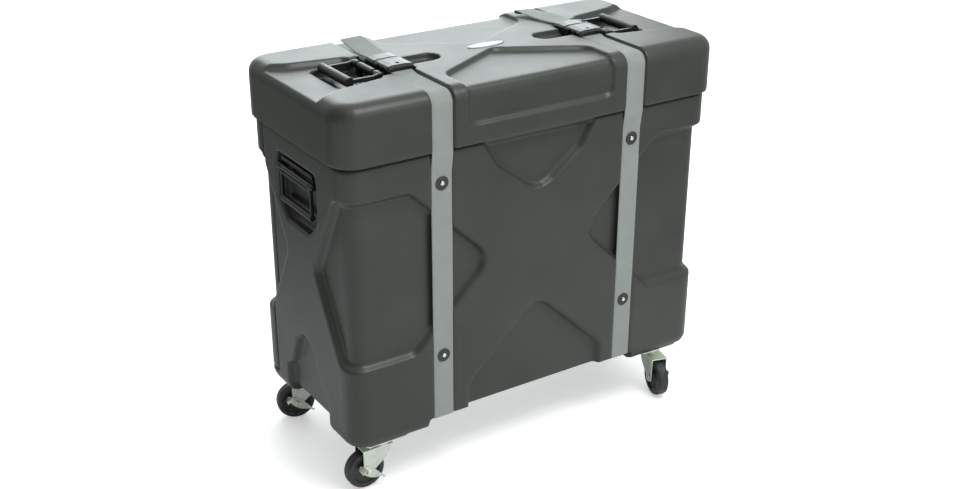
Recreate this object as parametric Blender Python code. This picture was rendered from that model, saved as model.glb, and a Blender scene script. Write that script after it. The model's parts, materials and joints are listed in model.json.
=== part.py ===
"""A drum trap case: a moulded shell with a lift-off lid, a rear cover, straps, handles and casters."""

import math

import bmesh
import bpy
from mathutils import Matrix, Vector

# Driving dimensions, in metres. X runs along the case, Y from front to back, Z up from the floor.
caster_height = 0.105
lid_length = 0.850
lid_depth = 0.400
lid_low = caster_height + 0.5735
lid_high = caster_height + 0.686
lid_corner = 0.047
lid_round = 0.022
overhang = 0.008
shell_wall = 0.005
relief = 0.014
tub_edge = caster_height + 0.567
neck_height = 0.048
neck_gap = 0.0015
foot_round = 0.018
underside = 0.022
floor_wall = 0.004
channel_middle = 0.2175
channel_width = 0.047
lid_channel = 0.008
cover_line = 0.1365
seam = 0.0030
strap_width = 0.0445
strap_thick = 0.0022
touch = 0.0003
wheel_radius = 0.040
wheel_width = 0.026
caster_x = 0.338
caster_y = 0.148
caster_trail = 0.038
axle_radius = 0.004
fit = 0.0004
pin_radius = 0.004
end_rise = 0.012
top_rise = 0.0165
grip_radius = 0.0083

# Sizes that follow from them.
tub_half_x = lid_length / 2 - overhang
tub_half_y = lid_depth / 2 - overhang
tub_corner = lid_corner - overhang
lid_half_x = lid_length / 2
lid_half_y = lid_depth / 2
skirt_wall = lid_channel + shell_wall
neck_half_x = lid_half_x - skirt_wall - neck_gap
neck_half_y = lid_half_y - skirt_wall - neck_gap
neck_top = tub_edge + neck_height
channel_in = channel_middle - channel_width / 2
channel_out = channel_middle + channel_width / 2
lid_floor = lid_high - lid_channel
recess_x = tub_half_x - relief
recess_y = tub_half_y - relief


def clear_scene():
    for item in list(bpy.data.objects):
        bpy.data.objects.remove(item, do_unlink=True)


clear_scene()
scene = bpy.context.scene
parts = bpy.data.collections.new("drum_trap_case")
tools = bpy.data.collections.new("cutters")
tools.hide_render = True
scene.collection.children.link(parts)
scene.collection.children.link(tools)


def material(name, color, roughness, metallic=0.0):
    made = bpy.data.materials.new(name)
    made.use_nodes = True
    shader = made.node_tree.nodes["Principled BSDF"]
    shader.inputs["Base Color"].default_value = (*color, 1.0)
    shader.inputs["Roughness"].default_value = roughness
    shader.inputs["Metallic"].default_value = metallic
    made.diffuse_color = (*color, 1.0)
    return made


shell_plastic = material("shell_plastic", (0.065, 0.072, 0.070), 0.45)
black_plastic = material("black_plastic", (0.012, 0.012, 0.013), 0.35)
grip_rubber = material("grip_rubber", (0.015, 0.015, 0.016), 0.6)
webbing = material("webbing", (0.30, 0.32, 0.31), 0.85)
badge_metal = material("badge_metal", (0.55, 0.57, 0.56), 0.35, 0.6)
zinc = material("zinc_plated_steel", (0.62, 0.64, 0.60), 0.3, 1.0)
rivet_steel = material("rivet_steel", (0.72, 0.73, 0.72), 0.3, 1.0)
wheel_rubber = material("wheel_rubber", (0.035, 0.037, 0.038), 0.7)


# Mesh helpers.
def plane_matrix(plane):
    """Turns the XY plane of a drawn outline into the plane that is named."""
    if plane == "XZ":
        return Matrix(((1, 0, 0), (0, 0, -1), (0, 1, 0))).to_4x4()
    if plane == "YZ":
        return Matrix(((0, 0, 1), (1, 0, 0), (0, 1, 0))).to_4x4()
    return Matrix.Identity(4)


def rounded_box(half_u, half_v, corner, steps=5, middle=(0.0, 0.0)):
    points = []
    for index, (side_u, side_v) in enumerate(((1, 1), (-1, 1), (-1, -1), (1, -1))):
        centre_u = middle[0] + side_u * (half_u - corner)
        centre_v = middle[1] + side_v * (half_v - corner)
        for step in range(steps + 1):
            angle = math.pi / 2 * (index + step / steps)
            points.append((centre_u + corner * math.cos(angle), centre_v + corner * math.sin(angle)))
    return points


def circle(radius, steps, middle=(0.0, 0.0)):
    turn = 2 * math.pi / steps
    return [(middle[0] + radius * math.cos(turn * i), middle[1] + radius * math.sin(turn * i)) for i in range(steps)]


def grown(outline, distance):
    """The outline with each side moved out by a distance, in against the winding when negative."""
    count = len(outline)
    area = sum(
        outline[i - 1][0] * outline[i][1] - outline[i][0] * outline[i - 1][1] for i in range(count)
    )
    side = 1.0 if area > 0 else -1.0
    moved = []
    for i in range(count):
        here = Vector(outline[i])
        before = (here - Vector(outline[i - 1])).normalized()
        after = (Vector(outline[(i + 1) % count]) - here).normalized()
        normal_before = Vector((before.y, -before.x)) * side
        normal_after = Vector((after.y, -after.x)) * side
        middle = normal_before + normal_after
        middle = middle / max(middle.length_squared, 0.5) * 2
        moved.append(tuple(here + middle * distance))
    return moved


def add(name, made_mesh, look, collection=None):
    made = bpy.data.objects.new(name, made_mesh)
    made_mesh.materials.clear()
    made_mesh.materials.append(look)
    (collection or parts).objects.link(made)
    return made


def loft(name, loops, look=None, plane="XY", collection=None):
    """One closed body through flat loops of equal count, each given as (outline, height)."""
    shape = bmesh.new()
    rings = []
    for outline, height in loops:
        rings.append([shape.verts.new((u, v, height)) for u, v in outline])
    for low, high in zip(rings, rings[1:]):
        for i in range(len(low)):
            j = (i + 1) % len(low)
            shape.faces.new((low[i], low[j], high[j], high[i]))
    shape.faces.new(list(reversed(rings[0])))
    shape.faces.new(rings[-1])
    shape.transform(plane_matrix(plane))
    bmesh.ops.recalc_face_normals(shape, faces=shape.faces)
    made_mesh = bpy.data.meshes.new(name)
    shape.to_mesh(made_mesh)
    shape.free()
    return add(name, made_mesh, look or shell_plastic, collection)


def span(low, high, plane):
    """A range along the drawn plane's normal: the XZ plane's normal points to the front."""
    return (-high, -low) if plane == "XZ" else (low, high)


def slab(name, outline, low, high, plane="XY", look=None, collection=None):
    low, high = span(low, high, plane)
    return loft(name, [(outline, low), (outline, high)], look, plane, collection)


def tool_slab(name, outline, low, high, plane="XY"):
    return slab(name, outline, low, high, plane, None, tools)


def tool_box(name, x, y, z):
    corners = [(x[0], y[0]), (x[1], y[0]), (x[1], y[1]), (x[0], y[1])]
    return tool_slab(name, corners, z[0], z[1])


def apply_boolean(target, other, operation):
    """Bakes one Boolean into the target and removes the other body."""
    change = target.modifiers.new("join", "BOOLEAN")
    change.operation = operation
    change.solver = "EXACT"
    change.object = other
    bpy.context.view_layer.update()
    graph = bpy.context.evaluated_depsgraph_get()
    result = bpy.data.meshes.new_from_object(target.evaluated_get(graph))
    target.modifiers.remove(change)
    target.data = result
    bpy.data.objects.remove(other, do_unlink=True)
    return target


def cut(target, *others):
    for other in others:
        apply_boolean(target, other, "DIFFERENCE")
    return target


def join(target, *others):
    for other in others:
        apply_boolean(target, other, "UNION")
    return target


def turned(name, profile, steps, look, collection=None):
    """A body turned round Z from (radius, height) points that run from the axis and back to it."""
    shape = bmesh.new()
    points = [shape.verts.new((radius, 0.0, height)) for radius, height in profile]
    edges = [shape.edges.new(pair) for pair in zip(points, points[1:])]
    bmesh.ops.spin(
        shape,
        geom=points + edges,
        axis=(0, 0, 1),
        cent=(0, 0, 0),
        angle=2 * math.pi,
        steps=steps,
        use_merge=True,
    )
    bmesh.ops.remove_doubles(shape, verts=shape.verts, dist=1e-6)
    bmesh.ops.recalc_face_normals(shape, faces=shape.faces)
    made_mesh = bpy.data.meshes.new(name)
    shape.to_mesh(made_mesh)
    shape.free()
    return add(name, made_mesh, look, collection)


def placed(thing, matrix):
    thing.data.transform(matrix)
    return thing


def pivot(thing, point):
    """Puts a piece's origin on the axis it moves about."""
    thing.data.transform(Matrix.Translation(-Vector(point)))
    thing.location = point
    return thing


def smooth(thing, degrees=32):
    for face in thing.data.polygons:
        face.use_smooth = True
    thing.data.set_sharp_from_angle(angle=math.radians(degrees))
    return thing


# The raised X pattern of the walls, drawn on one half of the front and of an end.
def above(height):
    return caster_height + height


def mirrored(points):
    return [(-u, v) for u, v in points]


def top_lobe():
    right = [(0.100, above(0.515)), (0.150, above(0.600))]
    return [(0.0, above(0.450)), *right, *reversed(mirrored(right))]


def foot_lobe(apex, spread, shoulder, base, low):
    right = [(spread, shoulder), (base, above(0.070)), (base, low)]
    return [(0.0, apex), *reversed(mirrored(right)[::-1]), *right[::-1]][::-1]


def side_lobe():
    return [
        (0.124, above(0.337)),
        (0.142, above(0.373)),
        (0.190, above(0.417)),
        (0.242, above(0.472)),
        (0.275, above(0.497)),
        (0.302, above(0.506)),
        (0.480, above(0.506)),
        (0.480, above(0.169)),
        (0.300, above(0.169)),
        (0.269, above(0.179)),
        (0.242, above(0.201)),
        (0.190, above(0.244)),
        (0.136, above(0.303)),
    ]


def end_lobe():
    return [
        (0.060, above(0.335)),
        (0.079, above(0.372)),
        (0.118, above(0.448)),
        (0.140, above(0.495)),
        (0.152, above(0.506)),
        (0.260, above(0.506)),
        (0.260, above(0.169)),
        (0.160, above(0.169)),
        (0.141, above(0.193)),
        (0.119, above(0.240)),
        (0.079, above(0.305)),
    ]


def relief_tool(name, outline, plane, side, face):
    """A cutter with 45 degree walls: full size at the raised face, smaller below it."""
    sink = relief + 0.006
    proud = 0.030
    inner = (grown(outline, -sink), side * (face - sink))
    middle = (outline, side * face)
    outer = (grown(outline, proud), side * (face + proud))
    loops = [inner, middle, outer] if side > 0 else [outer, middle, inner]
    if plane == "XZ":
        loops = [(points, -height) for points, height in reversed(loops)]
    return loft(name, loops, None, plane, tools)


def body_form(name, inset=0.0):
    """The outside of the closed body below the lid, or the same form shrunk by an inset."""
    half_x = tub_half_x - inset
    half_y = tub_half_y - inset
    corner = tub_corner - inset
    bottom = caster_height + inset
    loops = []
    for step in range(3):
        angle = math.pi / 4 * step
        pull = foot_round * (1 - math.sin(angle))
        outline = rounded_box(half_x - pull, half_y - pull, max(corner - pull, 0.006))
        loops.append((outline, bottom + foot_round * (1 - math.cos(angle))))
    loops.append((rounded_box(half_x, half_y, corner), tub_edge))
    body = loft(name, loops)
    for side in (-1, 1):
        cut(body, relief_tool("top", top_lobe(), "XZ", side, half_y))
        foot = foot_lobe(above(0.214), 0.148, above(0.088), 0.163, above(-0.030))
        cut(body, relief_tool("foot", foot, "XZ", side, half_y))
        end_foot = foot_lobe(above(0.214), 0.064, above(0.088), 0.090, above(-0.030))
        cut(body, relief_tool("end_foot", end_foot, "YZ", side, half_x))
        for hand in (-1, 1):
            front = side_lobe() if hand > 0 else mirrored(side_lobe())[::-1]
            cut(body, relief_tool("side", front, "XZ", side, half_y))
            end = end_lobe() if hand > 0 else mirrored(end_lobe())[::-1]
            cut(body, relief_tool("end", end, "YZ", side, half_x))
    for hand in (-1, 1):
        across = sorted((hand * (channel_in + inset), hand * (channel_out - inset)))
        for side in (-1, 1):
            along = sorted((side * (recess_y - 0.010), side * (half_y + 0.050)))
            cut(body, tool_box("channel", across, along, (above(-0.02), above(0.70))))
    low = above(-0.010)
    top = above(underside + inset)
    gap_x = 0.250 + inset
    gap_y = 0.086 - inset
    cut(body, tool_box("belly", (-gap_x, gap_x), (-0.5, 0.5), (low, top)))
    cut(body, tool_box("belly", (-0.6, 0.6), (-gap_y, gap_y), (low, top)))
    core = rounded_box(recess_x - inset, recess_y - inset, 0.028)
    join(body, slab("core", core, above(underside) + inset, tub_edge))
    return body


def cavity(name, low, rear):
    room = tool_slab(name, rounded_box(recess_x - shell_wall, recess_y - shell_wall, 0.024), low, neck_top + 0.05)
    for side in (-1, 1):
        across = sorted((side * (tub_half_x - handle_sink - shell_wall), side * 0.6))
        cut(room, tool_box("boss", across, (-0.09, 0.09), (above(0.385), above(0.547))))
    if rear:
        cut(room, tool_box("part", (-0.6, 0.6), (-0.6, cover_line - 0.030), (0, 2)))
    else:
        cut(room, tool_box("part", (-0.6, 0.6), (cover_line - shell_wall - seam / 2, 0.6), (0, 2)))
    return room


def neck():
    collar = slab("neck", rounded_box(neck_half_x, neck_half_y, 0.034), tub_edge - 0.004, neck_top)
    return collar


def whole_body():
    body = body_form("body")
    return join(body, neck())


handle_sink = 0.017


def recess_for_end_handle(side):
    """The dished pocket that takes a handle in an end wall."""
    centre = above(0.466)
    outline = rounded_box(0.079, 0.068, 0.020, 3, (0.0, centre))
    deep = tub_half_x - handle_sink
    loops = [(grown(outline, -0.008), side * deep), (outline, side * (tub_half_x + 0.002))]
    if side < 0:
        loops.reverse()
    return loft("dish", loops, None, "YZ", tools)


def build_body():
    tub = whole_body()
    tub.name = "case_tub"
    cover = tub.copy()
    cover.data = tub.data.copy()
    cover.name = "case_rear_cover"
    parts.objects.link(cover)
    ledge = above(underside + floor_wall)
    behind = cover_line - seam / 2
    cut(tub, tool_box("behind", (-0.6, 0.6), (behind, 0.6), (ledge, 2)))
    cut(tub, cavity("room", ledge + 0.001, False))
    cut(tub, recess_for_end_handle(-1), recess_for_end_handle(1))
    ahead = cover_line + seam / 2
    cut(cover, tool_box("ahead", (-0.6, 0.6), (-0.6, ahead), (0, 2)))
    cut(cover, tool_box("below", (-0.6, 0.6), (-0.6, 0.6), (0, ledge + seam)))
    cut(cover, cavity("vault", ledge + seam + shell_wall, True))
    return tub, cover


# The lid.
def lid_panel(side):
    """The sunk V that folds over the front or back edge of the lid."""
    half = 0.165
    low = lid_low + 0.036
    face = rounded_box(half, 0.10, 0.020, 2, (0.0, low + 0.10))
    depth = 0.007
    front = relief_plain(face, "XZ", side, lid_half_y, depth)
    top = [(-half, 0.205), (-half, 0.112), (0.0, 0.022), (half, 0.112), (half, 0.205)]
    if side < 0:
        top = [(u, -v) for u, v in reversed(top)]
    above_top = loft(
        "panel",
        [(grown(top, -depth), lid_high - depth), (grown(top, 0.010), lid_high + 0.010)],
        None,
        "XY",
        tools,
    )
    return front, above_top


def relief_plain(outline, plane, side, face, depth):
    inner = (grown(outline, -depth), side * (face - depth))
    outer = (grown(outline, 0.010), side * (face + 0.010))
    loops = [inner, outer] if side > 0 else [outer, inner]
    if plane == "XZ":
        loops = [(points, -height) for points, height in reversed(loops)]
    return loft("panel", loops, None, plane, tools)


pocket_in = 0.232
pocket_out = 0.362
pocket_half = 0.062
pocket_depth = 0.026
valley_depth = 0.011
scoop_end = 0.105
scoop_half = 0.022
scoop_depth = 0.013


def over_lid(rise):
    """The line over the lid along a strap, a little above the channel's floor, from front to back."""
    half = lid_half_y - lid_channel + rise
    bend = lid_round - lid_channel + rise
    middle = half - bend
    line = []
    for step in range(5):
        angle = math.pi / 2 * step / 4
        line.append((-middle - bend * math.cos(angle), lid_floor + rise - bend + bend * math.sin(angle)))
    return line + [(-u, v) for u, v in reversed(line)]


def lid_channel_outline(high):
    line = over_lid(0.0)
    low = 0.3
    start = [(-0.5, high), (-0.5, low), (line[0][0], low)]
    end = [(line[-1][0], low), (0.5, low), (0.5, high)]
    return start + line + end


def build_lid():
    loops = [(rounded_box(lid_half_x, lid_half_y, lid_corner), lid_low)]
    steps = 4
    for step in range(steps + 1):
        angle = math.pi / 2 * step / steps
        pull = lid_round * (1 - math.cos(angle))
        outline = rounded_box(lid_half_x - pull, lid_half_y - pull, lid_corner - pull)
        loops.append((outline, lid_high - lid_round * (1 - math.sin(angle))))
    lid = loft("case_lid", loops)
    for side in (-1, 1):
        cut(lid, *lid_panel(side))
    for hand in (-1, 1):
        across = sorted((hand * channel_in, hand * channel_out))
        high = lid_high + 0.05
        cut(lid, tool_slab("channel", lid_channel_outline(high), across[0], across[1], "YZ"))
        cut(lid, valley(hand))
        middle = (hand * (pocket_in + pocket_out) / 2, 0.0)
        pocket = rounded_box((pocket_out - pocket_in) / 2, pocket_half, 0.012, 3, middle)
        loops = [(grown(pocket, -0.002), lid_high - pocket_depth), (grown(pocket, 0.002), lid_high), (grown(pocket, 0.002), high)]
        cut(lid, loft("pocket", loops, None, "XY", tools))
        length = (channel_middle - scoop_end) / 2
        scoop = rounded_box(length, scoop_half, scoop_half * 0.96, 4, (hand * (scoop_end + length), -0.008))
        loops = [(grown(scoop, -0.008), lid_high - scoop_depth), (grown(scoop, 0.004), high)]
        cut(lid, loft("scoop", loops, None, "XY", tools))
        half_seat = (buckle_back - buckle_front) / 2 + 0.004
        centre = (hand * channel_middle, (buckle_back + buckle_front) / 2)
        seat = rounded_box(buckle_half + 0.0025, half_seat, 0.006, 2, centre)
        cut(lid, tool_slab("seat", seat, lid_floor, high))
    cut(lid, tool_slab("badge_seat", oval(badge_x + fit, badge_y + fit, 32), lid_high - 0.0015, lid_high + 0.01))
    inside_x = neck_half_x + neck_gap
    inside_y = neck_half_y + neck_gap
    roof = lid_high - scoop_depth - shell_wall
    room = tool_slab("room", rounded_box(inside_x, inside_y, 0.0355), lid_low - 0.02, roof)
    for hand in (-1, 1):
        across = sorted((hand * (pocket_in - 0.012), hand * (pocket_out + 0.010)))
        drop = lid_high - pocket_depth - shell_wall
        cut(room, tool_box("boss", across, (-pocket_half - 0.01, pocket_half + 0.01), (drop, 2)))
    cut(lid, room)
    return lid


def valley(hand):
    """The low ground between the front and the back corner blocks at one end of the lid."""
    points = [(0.262, 0.078), (0.366, 0.094), (0.400, 0.106), (0.460, 0.130)]
    outline = [*points, *reversed([(u, -v) for u, v in points])]
    if hand < 0:
        outline = mirrored(outline)
    loops = [(grown(outline, -valley_depth), lid_high - valley_depth), (outline, lid_high), (outline, lid_high + 0.05)]
    return loft("valley", loops, None, "XY", tools)


badge_x = 0.0415
badge_y = 0.0145


def oval(half_x, half_y, steps):
    turn = 2 * math.pi / steps
    return [(half_x * math.cos(turn * i), half_y * math.sin(turn * i)) for i in range(steps)]


def build_badge():
    low = lid_high - 0.0015 + touch
    loops = [
        (oval(badge_x, badge_y, 32), low),
        (oval(badge_x, badge_y, 32), low + 0.0016),
        (oval(badge_x - 0.002, badge_y - 0.002, 32), low + 0.0026),
        (oval(badge_x - 0.0045, badge_y - 0.0045, 32), low + 0.0020),
    ]
    return loft("lid_badge", loops, badge_metal)



# Handles: a base plate with lugs, a swinging bail and its pin. Drawn with the hinge along X,
# the bail lying towards +Y and the wall's outward normal along +Z, then turned into place.
handle_half_u = 0.0570
handle_half_v = 0.0600
hinge_v = -0.037
grip_v = 0.028
base_thick = 0.003
lug_middle = 0.030
eye_middle = 0.0485
eye_half = 0.0045
lug_half = 0.0040
eye_radius = 0.0075


def base_plate(name, rise):
    plate = slab(name, rounded_box(handle_half_u, handle_half_v, 0.010, 3), 0.0, base_thick, "XY", black_plastic)
    edge = slab("edge", rounded_box(handle_half_u, handle_half_v, 0.010, 3), base_thick / 2, base_thick + 0.0015)
    cut(edge, tool_slab("inner", rounded_box(handle_half_u - 0.003, handle_half_v - 0.003, 0.007, 3), 0.0, 0.02))
    join(plate, edge)
    for index in range(5):
        middle = 0.011 * (index - 0.6)
        rib = rounded_box(0.036, 0.0018, 0.0017, 1, (0.0, middle))
        join(plate, slab("rib", rib, base_thick / 2, base_thick + 0.0018))
    axis = base_thick + rise
    for side in (-1, 1):
        ends = sorted((side * (lug_middle - lug_half), side * (lug_middle + lug_half)))
        lug = circle(0.0065, 16, (hinge_v, axis))
        foot = [(u, v) for u, v in lug if v >= axis - 1e-6]
        foot += [(hinge_v - 0.0075, base_thick / 2), (hinge_v + 0.0075, base_thick / 2)]
        join(plate, slab("lug", foot, ends[0], ends[1], "YZ"))
    hole = circle(pin_radius + fit, 16, (hinge_v, axis))
    cut(plate, tool_slab("hole", hole, -0.08, 0.08, "YZ"))
    return plate


def bail_shape(name, rise):
    """Two arms and a grip, with eyes on the hinge pin."""
    axis = base_thick + rise
    grip = slab(name, circle(grip_radius, 16, (grip_v, axis)), -handle_half_u + 0.002, handle_half_u - 0.002, "YZ", grip_rubber)
    for side in (-1, 1):
        ends = sorted((side * (eye_middle - eye_half), side * (eye_middle + eye_half)))
        eye = circle(eye_radius, 16, (hinge_v, axis))
        arm = [(u, v) for u, v in eye if u <= hinge_v + 1e-6]
        arm = [(hinge_v, axis - eye_radius), (grip_v, axis - 0.0055), (grip_v, axis + 0.0055), (hinge_v, axis + eye_radius)] + arm[1:-1]
        join(grip, slab("arm", arm, ends[0], ends[1], "YZ"))
    hole = circle(pin_radius + fit, 16, (hinge_v, axis))
    cut(grip, tool_slab("hole", hole, -0.08, 0.08, "YZ"))
    return grip


def pin_shape(name, rise):
    axis = base_thick + rise
    half = eye_middle + eye_half + 0.0004
    head = 0.0016
    pin = slab(name, circle(pin_radius, 16, (hinge_v, axis)), -half - head, half + head, "YZ", black_plastic)
    for side in (-1, 1):
        ends = sorted((side * half, side * (half + head)))
        join(pin, slab("head", circle(pin_radius + 0.0018, 16, (hinge_v, axis)), ends[0], ends[1], "YZ"))
    collar = slab("collar", circle(pin_radius + 0.0014, 16, (hinge_v, axis)), -0.009, 0.009, "YZ")
    return join(pin, collar)


def build_handle(name, matrix, rise):
    base = placed(base_plate(name + "_base", rise), matrix)
    bail = placed(bail_shape(name + "_bail", rise), matrix)
    pin = placed(pin_shape(name + "_pin", rise), matrix)
    pivot(bail, matrix @ Vector((0.0, hinge_v, base_thick + rise)))
    return [base, bail, pin]


def columns(u, v, w, origin):
    """A frame from its three directions, given as its columns, and its origin."""
    turned_frame = Matrix((u, v, w)).transposed().to_4x4()
    turned_frame.translation = origin
    return turned_frame


def build_handles():
    made = []
    for word, side in (("left", -1), ("right", 1)):
        floor = lid_high - pocket_depth + touch
        frame = columns((0, -side, 0), (side, 0, 0), (0, 0, 1), (side * (pocket_in + pocket_out) / 2, 0, floor))
        made += build_handle("handle_top_" + word, frame, top_rise)
        wall = tub_half_x - handle_sink + touch
        frame = columns((0, -side, 0), (0, 0, -1), (side, 0, 0), (side * wall, 0, above(0.466)))
        made += build_handle("handle_end_" + word, frame, end_rise)
    return made


# Straps: webbing that lies in the channels.
rivet_high = above(0.510)
rivet_low = above(0.157)
slack_low = above(0.526)
washer_radius = 0.0125
washer_thick = 0.0016
shank_radius = 0.003


def strip(name, path, width, middle, look=None):
    """Webbing of even thickness outside a path that is drawn in the YZ plane."""
    count = len(path)
    outer = []
    for i in range(count):
        here = Vector(path[i])
        back = Vector(path[max(i - 1, 0)])
        ahead = Vector(path[min(i + 1, count - 1)])
        first = (here - back).normalized() if i else (ahead - here).normalized()
        second = (ahead - here).normalized() if i < count - 1 else first
        normal = Vector((-first.y, first.x)) + Vector((-second.y, second.x))
        normal = normal / normal.length_squared * 2
        outer.append(tuple(here + normal * strap_thick))
    outline = path + outer[::-1]
    return slab(name, outline, middle - width / 2, middle + width / 2, "YZ", look or webbing)


def rounded_turn(corner, radius, start, steps=3):
    """Points of a quarter turn round a centre, clockwise from a start angle in quarters."""
    points = []
    for step in range(steps + 1):
        angle = math.pi / 2 * (start - step / steps)
        points.append((corner[0] + radius * math.cos(angle), corner[1] + radius * math.sin(angle)))
    return points


def lower_path():
    wall = recess_y + touch
    bend = touch
    low = above(underside) - touch
    points = [(wall, slack_low - touch)]
    points += rounded_turn((wall - bend, low + bend), bend, 4)
    points += rounded_turn((-wall + bend, low + bend), bend, 3)
    points.append((-wall, slack_low - touch))
    return points


def slack_path():
    """From the upper rivet out to the lid's lip, front side, from the bottom up."""
    wall = recess_y + touch
    lip = lid_half_y - lid_channel + touch
    return [
        (-wall, slack_low),
        (-wall, slack_low + 0.008),
        (-wall - 0.002, slack_low + 0.013),
        (-lip + 0.002, tub_edge - 0.010),
        (-lip, tub_edge - 0.004),
        (-lip, lid_low - touch),
    ]


tail_rise = {"left": 0.021, "right": 0.004}
tail_length = {"left": 0.100, "right": 0.163}


def build_straps():
    made = []
    for word, side in (("left", -1), ("right", 1)):
        middle = side * channel_middle
        name = "strap_" + word
        lower = strip(name + "_lower", lower_path(), strap_width, middle)
        for height, label in ((rivet_high, "upper"), (rivet_low, "lower")):
            hole = circle(shank_radius + fit, 16, (middle, height))
            cut(lower, tool_slab("hole", hole, -0.25, -recess_y + 0.03, "XZ"))
            made.append(build_rivet("rivet_" + word + "_" + label, middle, height))
        front_slack = strip(name + "_front_slack", slack_path(), strap_width, middle)
        back = [(-u, v) for u, v in reversed(slack_path())]
        back_slack = strip(name + "_back_slack", back, strap_width, middle)
        line = over_lid(touch)
        front_line = [(line[0][0], lid_low + touch)] + line[:5]
        front_line += [(buckle_front - 0.012, lid_floor + touch), (buckle_front - 0.002, lid_floor + slot_low)]
        front_line += [(buckle_front + 0.008, lid_floor + slot_low)]
        front = strip(name + "_top_front", front_line, strap_width, middle)
        back_line = tail_path(word) + [(u, v) for u, v in line[5:]] + [(line[-1][0], lid_low + touch)]
        rear = strip(name + "_top_back", back_line, strap_width, middle)
        made += [lower, front_slack, back_slack, front, rear]
    return made


def build_rivet(name, middle, height):
    face = recess_y + touch + strap_thick + touch
    profile = [
        (0.0, -strap_thick - touch),
        (shank_radius, -strap_thick - touch),
        (shank_radius, 0.0),
        (washer_radius - 0.0006, 0.0),
        (washer_radius, 0.0004),
        (washer_radius, washer_thick - 0.0004),
        (washer_radius - 0.0006, washer_thick),
        (0.0056, washer_thick),
        (0.0052, washer_thick + 0.0014),
        (0.0036, washer_thick + 0.0026),
        (0.0, washer_thick + 0.0030),
    ]
    body = turned(name, profile, 24, rivet_steel)
    frame = columns((1, 0, 0), (0, 0, 1), (0, -1, 0), (middle, -face, height))
    return placed(body, frame)


# Side-release buckles on the lid.
buckle_front = -0.054
buckle_split = -0.002
buckle_back = 0.034
buckle_half = 0.029
buckle_high = 0.0175
slot_low = 0.0040
window_front = -0.038
window_back = -0.014
arm_pivot_x = 0.0165
arm_pivot_y = buckle_split - 0.0050
stud_radius = 0.0016
bar_y = 0.020
bar_z = 0.0080
bar_radius = 0.0026


def tail_path(word):
    """The tail's tip down to the plug, round its bar and back out along the channel."""
    floor = lid_floor + touch
    bend = bar_radius + fit + strap_thick
    centre = (bar_y, lid_floor + bar_z)
    end = (bar_y + 0.015 + tail_length[word], centre[1] + bend + tail_rise[word])
    start = (bar_y + 0.020, centre[1] + bend)
    points = []
    for step in range(5):
        share = 1 - step / 4
        along = start[0] + (end[0] - start[0]) * share
        points.append((along, start[1] + (end[1] - start[1]) * share ** 1.6))
    for step in range(7):
        angle = math.pi / 2 + math.pi * step / 6
        points.append((centre[0] + bend * math.cos(angle), centre[1] + bend * math.sin(angle)))
    points.append((bar_y + 0.010, centre[1] - bend))
    points.append((buckle_back + 0.008, floor))
    return [(u, v) for u, v in points]


def buckle_block(name, low, high, y_low, y_high, half, look):
    """A block with a crowned top."""
    loops = []
    for y, drop in ((y_low, 0.0035), (y_low + 0.006, 0.0), (y_high - 0.002, 0.0), (y_high, 0.0012)):
        crown = high - drop
        points = [
            (-half, low),
            (half, low),
            (half, crown - 0.0055),
            (half * 0.86, crown - 0.0020),
            (half * 0.45, crown - 0.0004),
            (-half * 0.45, crown - 0.0004),
            (-half * 0.86, crown - 0.0020),
            (-half, crown - 0.0055),
        ]
        loops.append((points, -y))
    loops.reverse()
    return loft(name, loops, look, "XZ")


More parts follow.
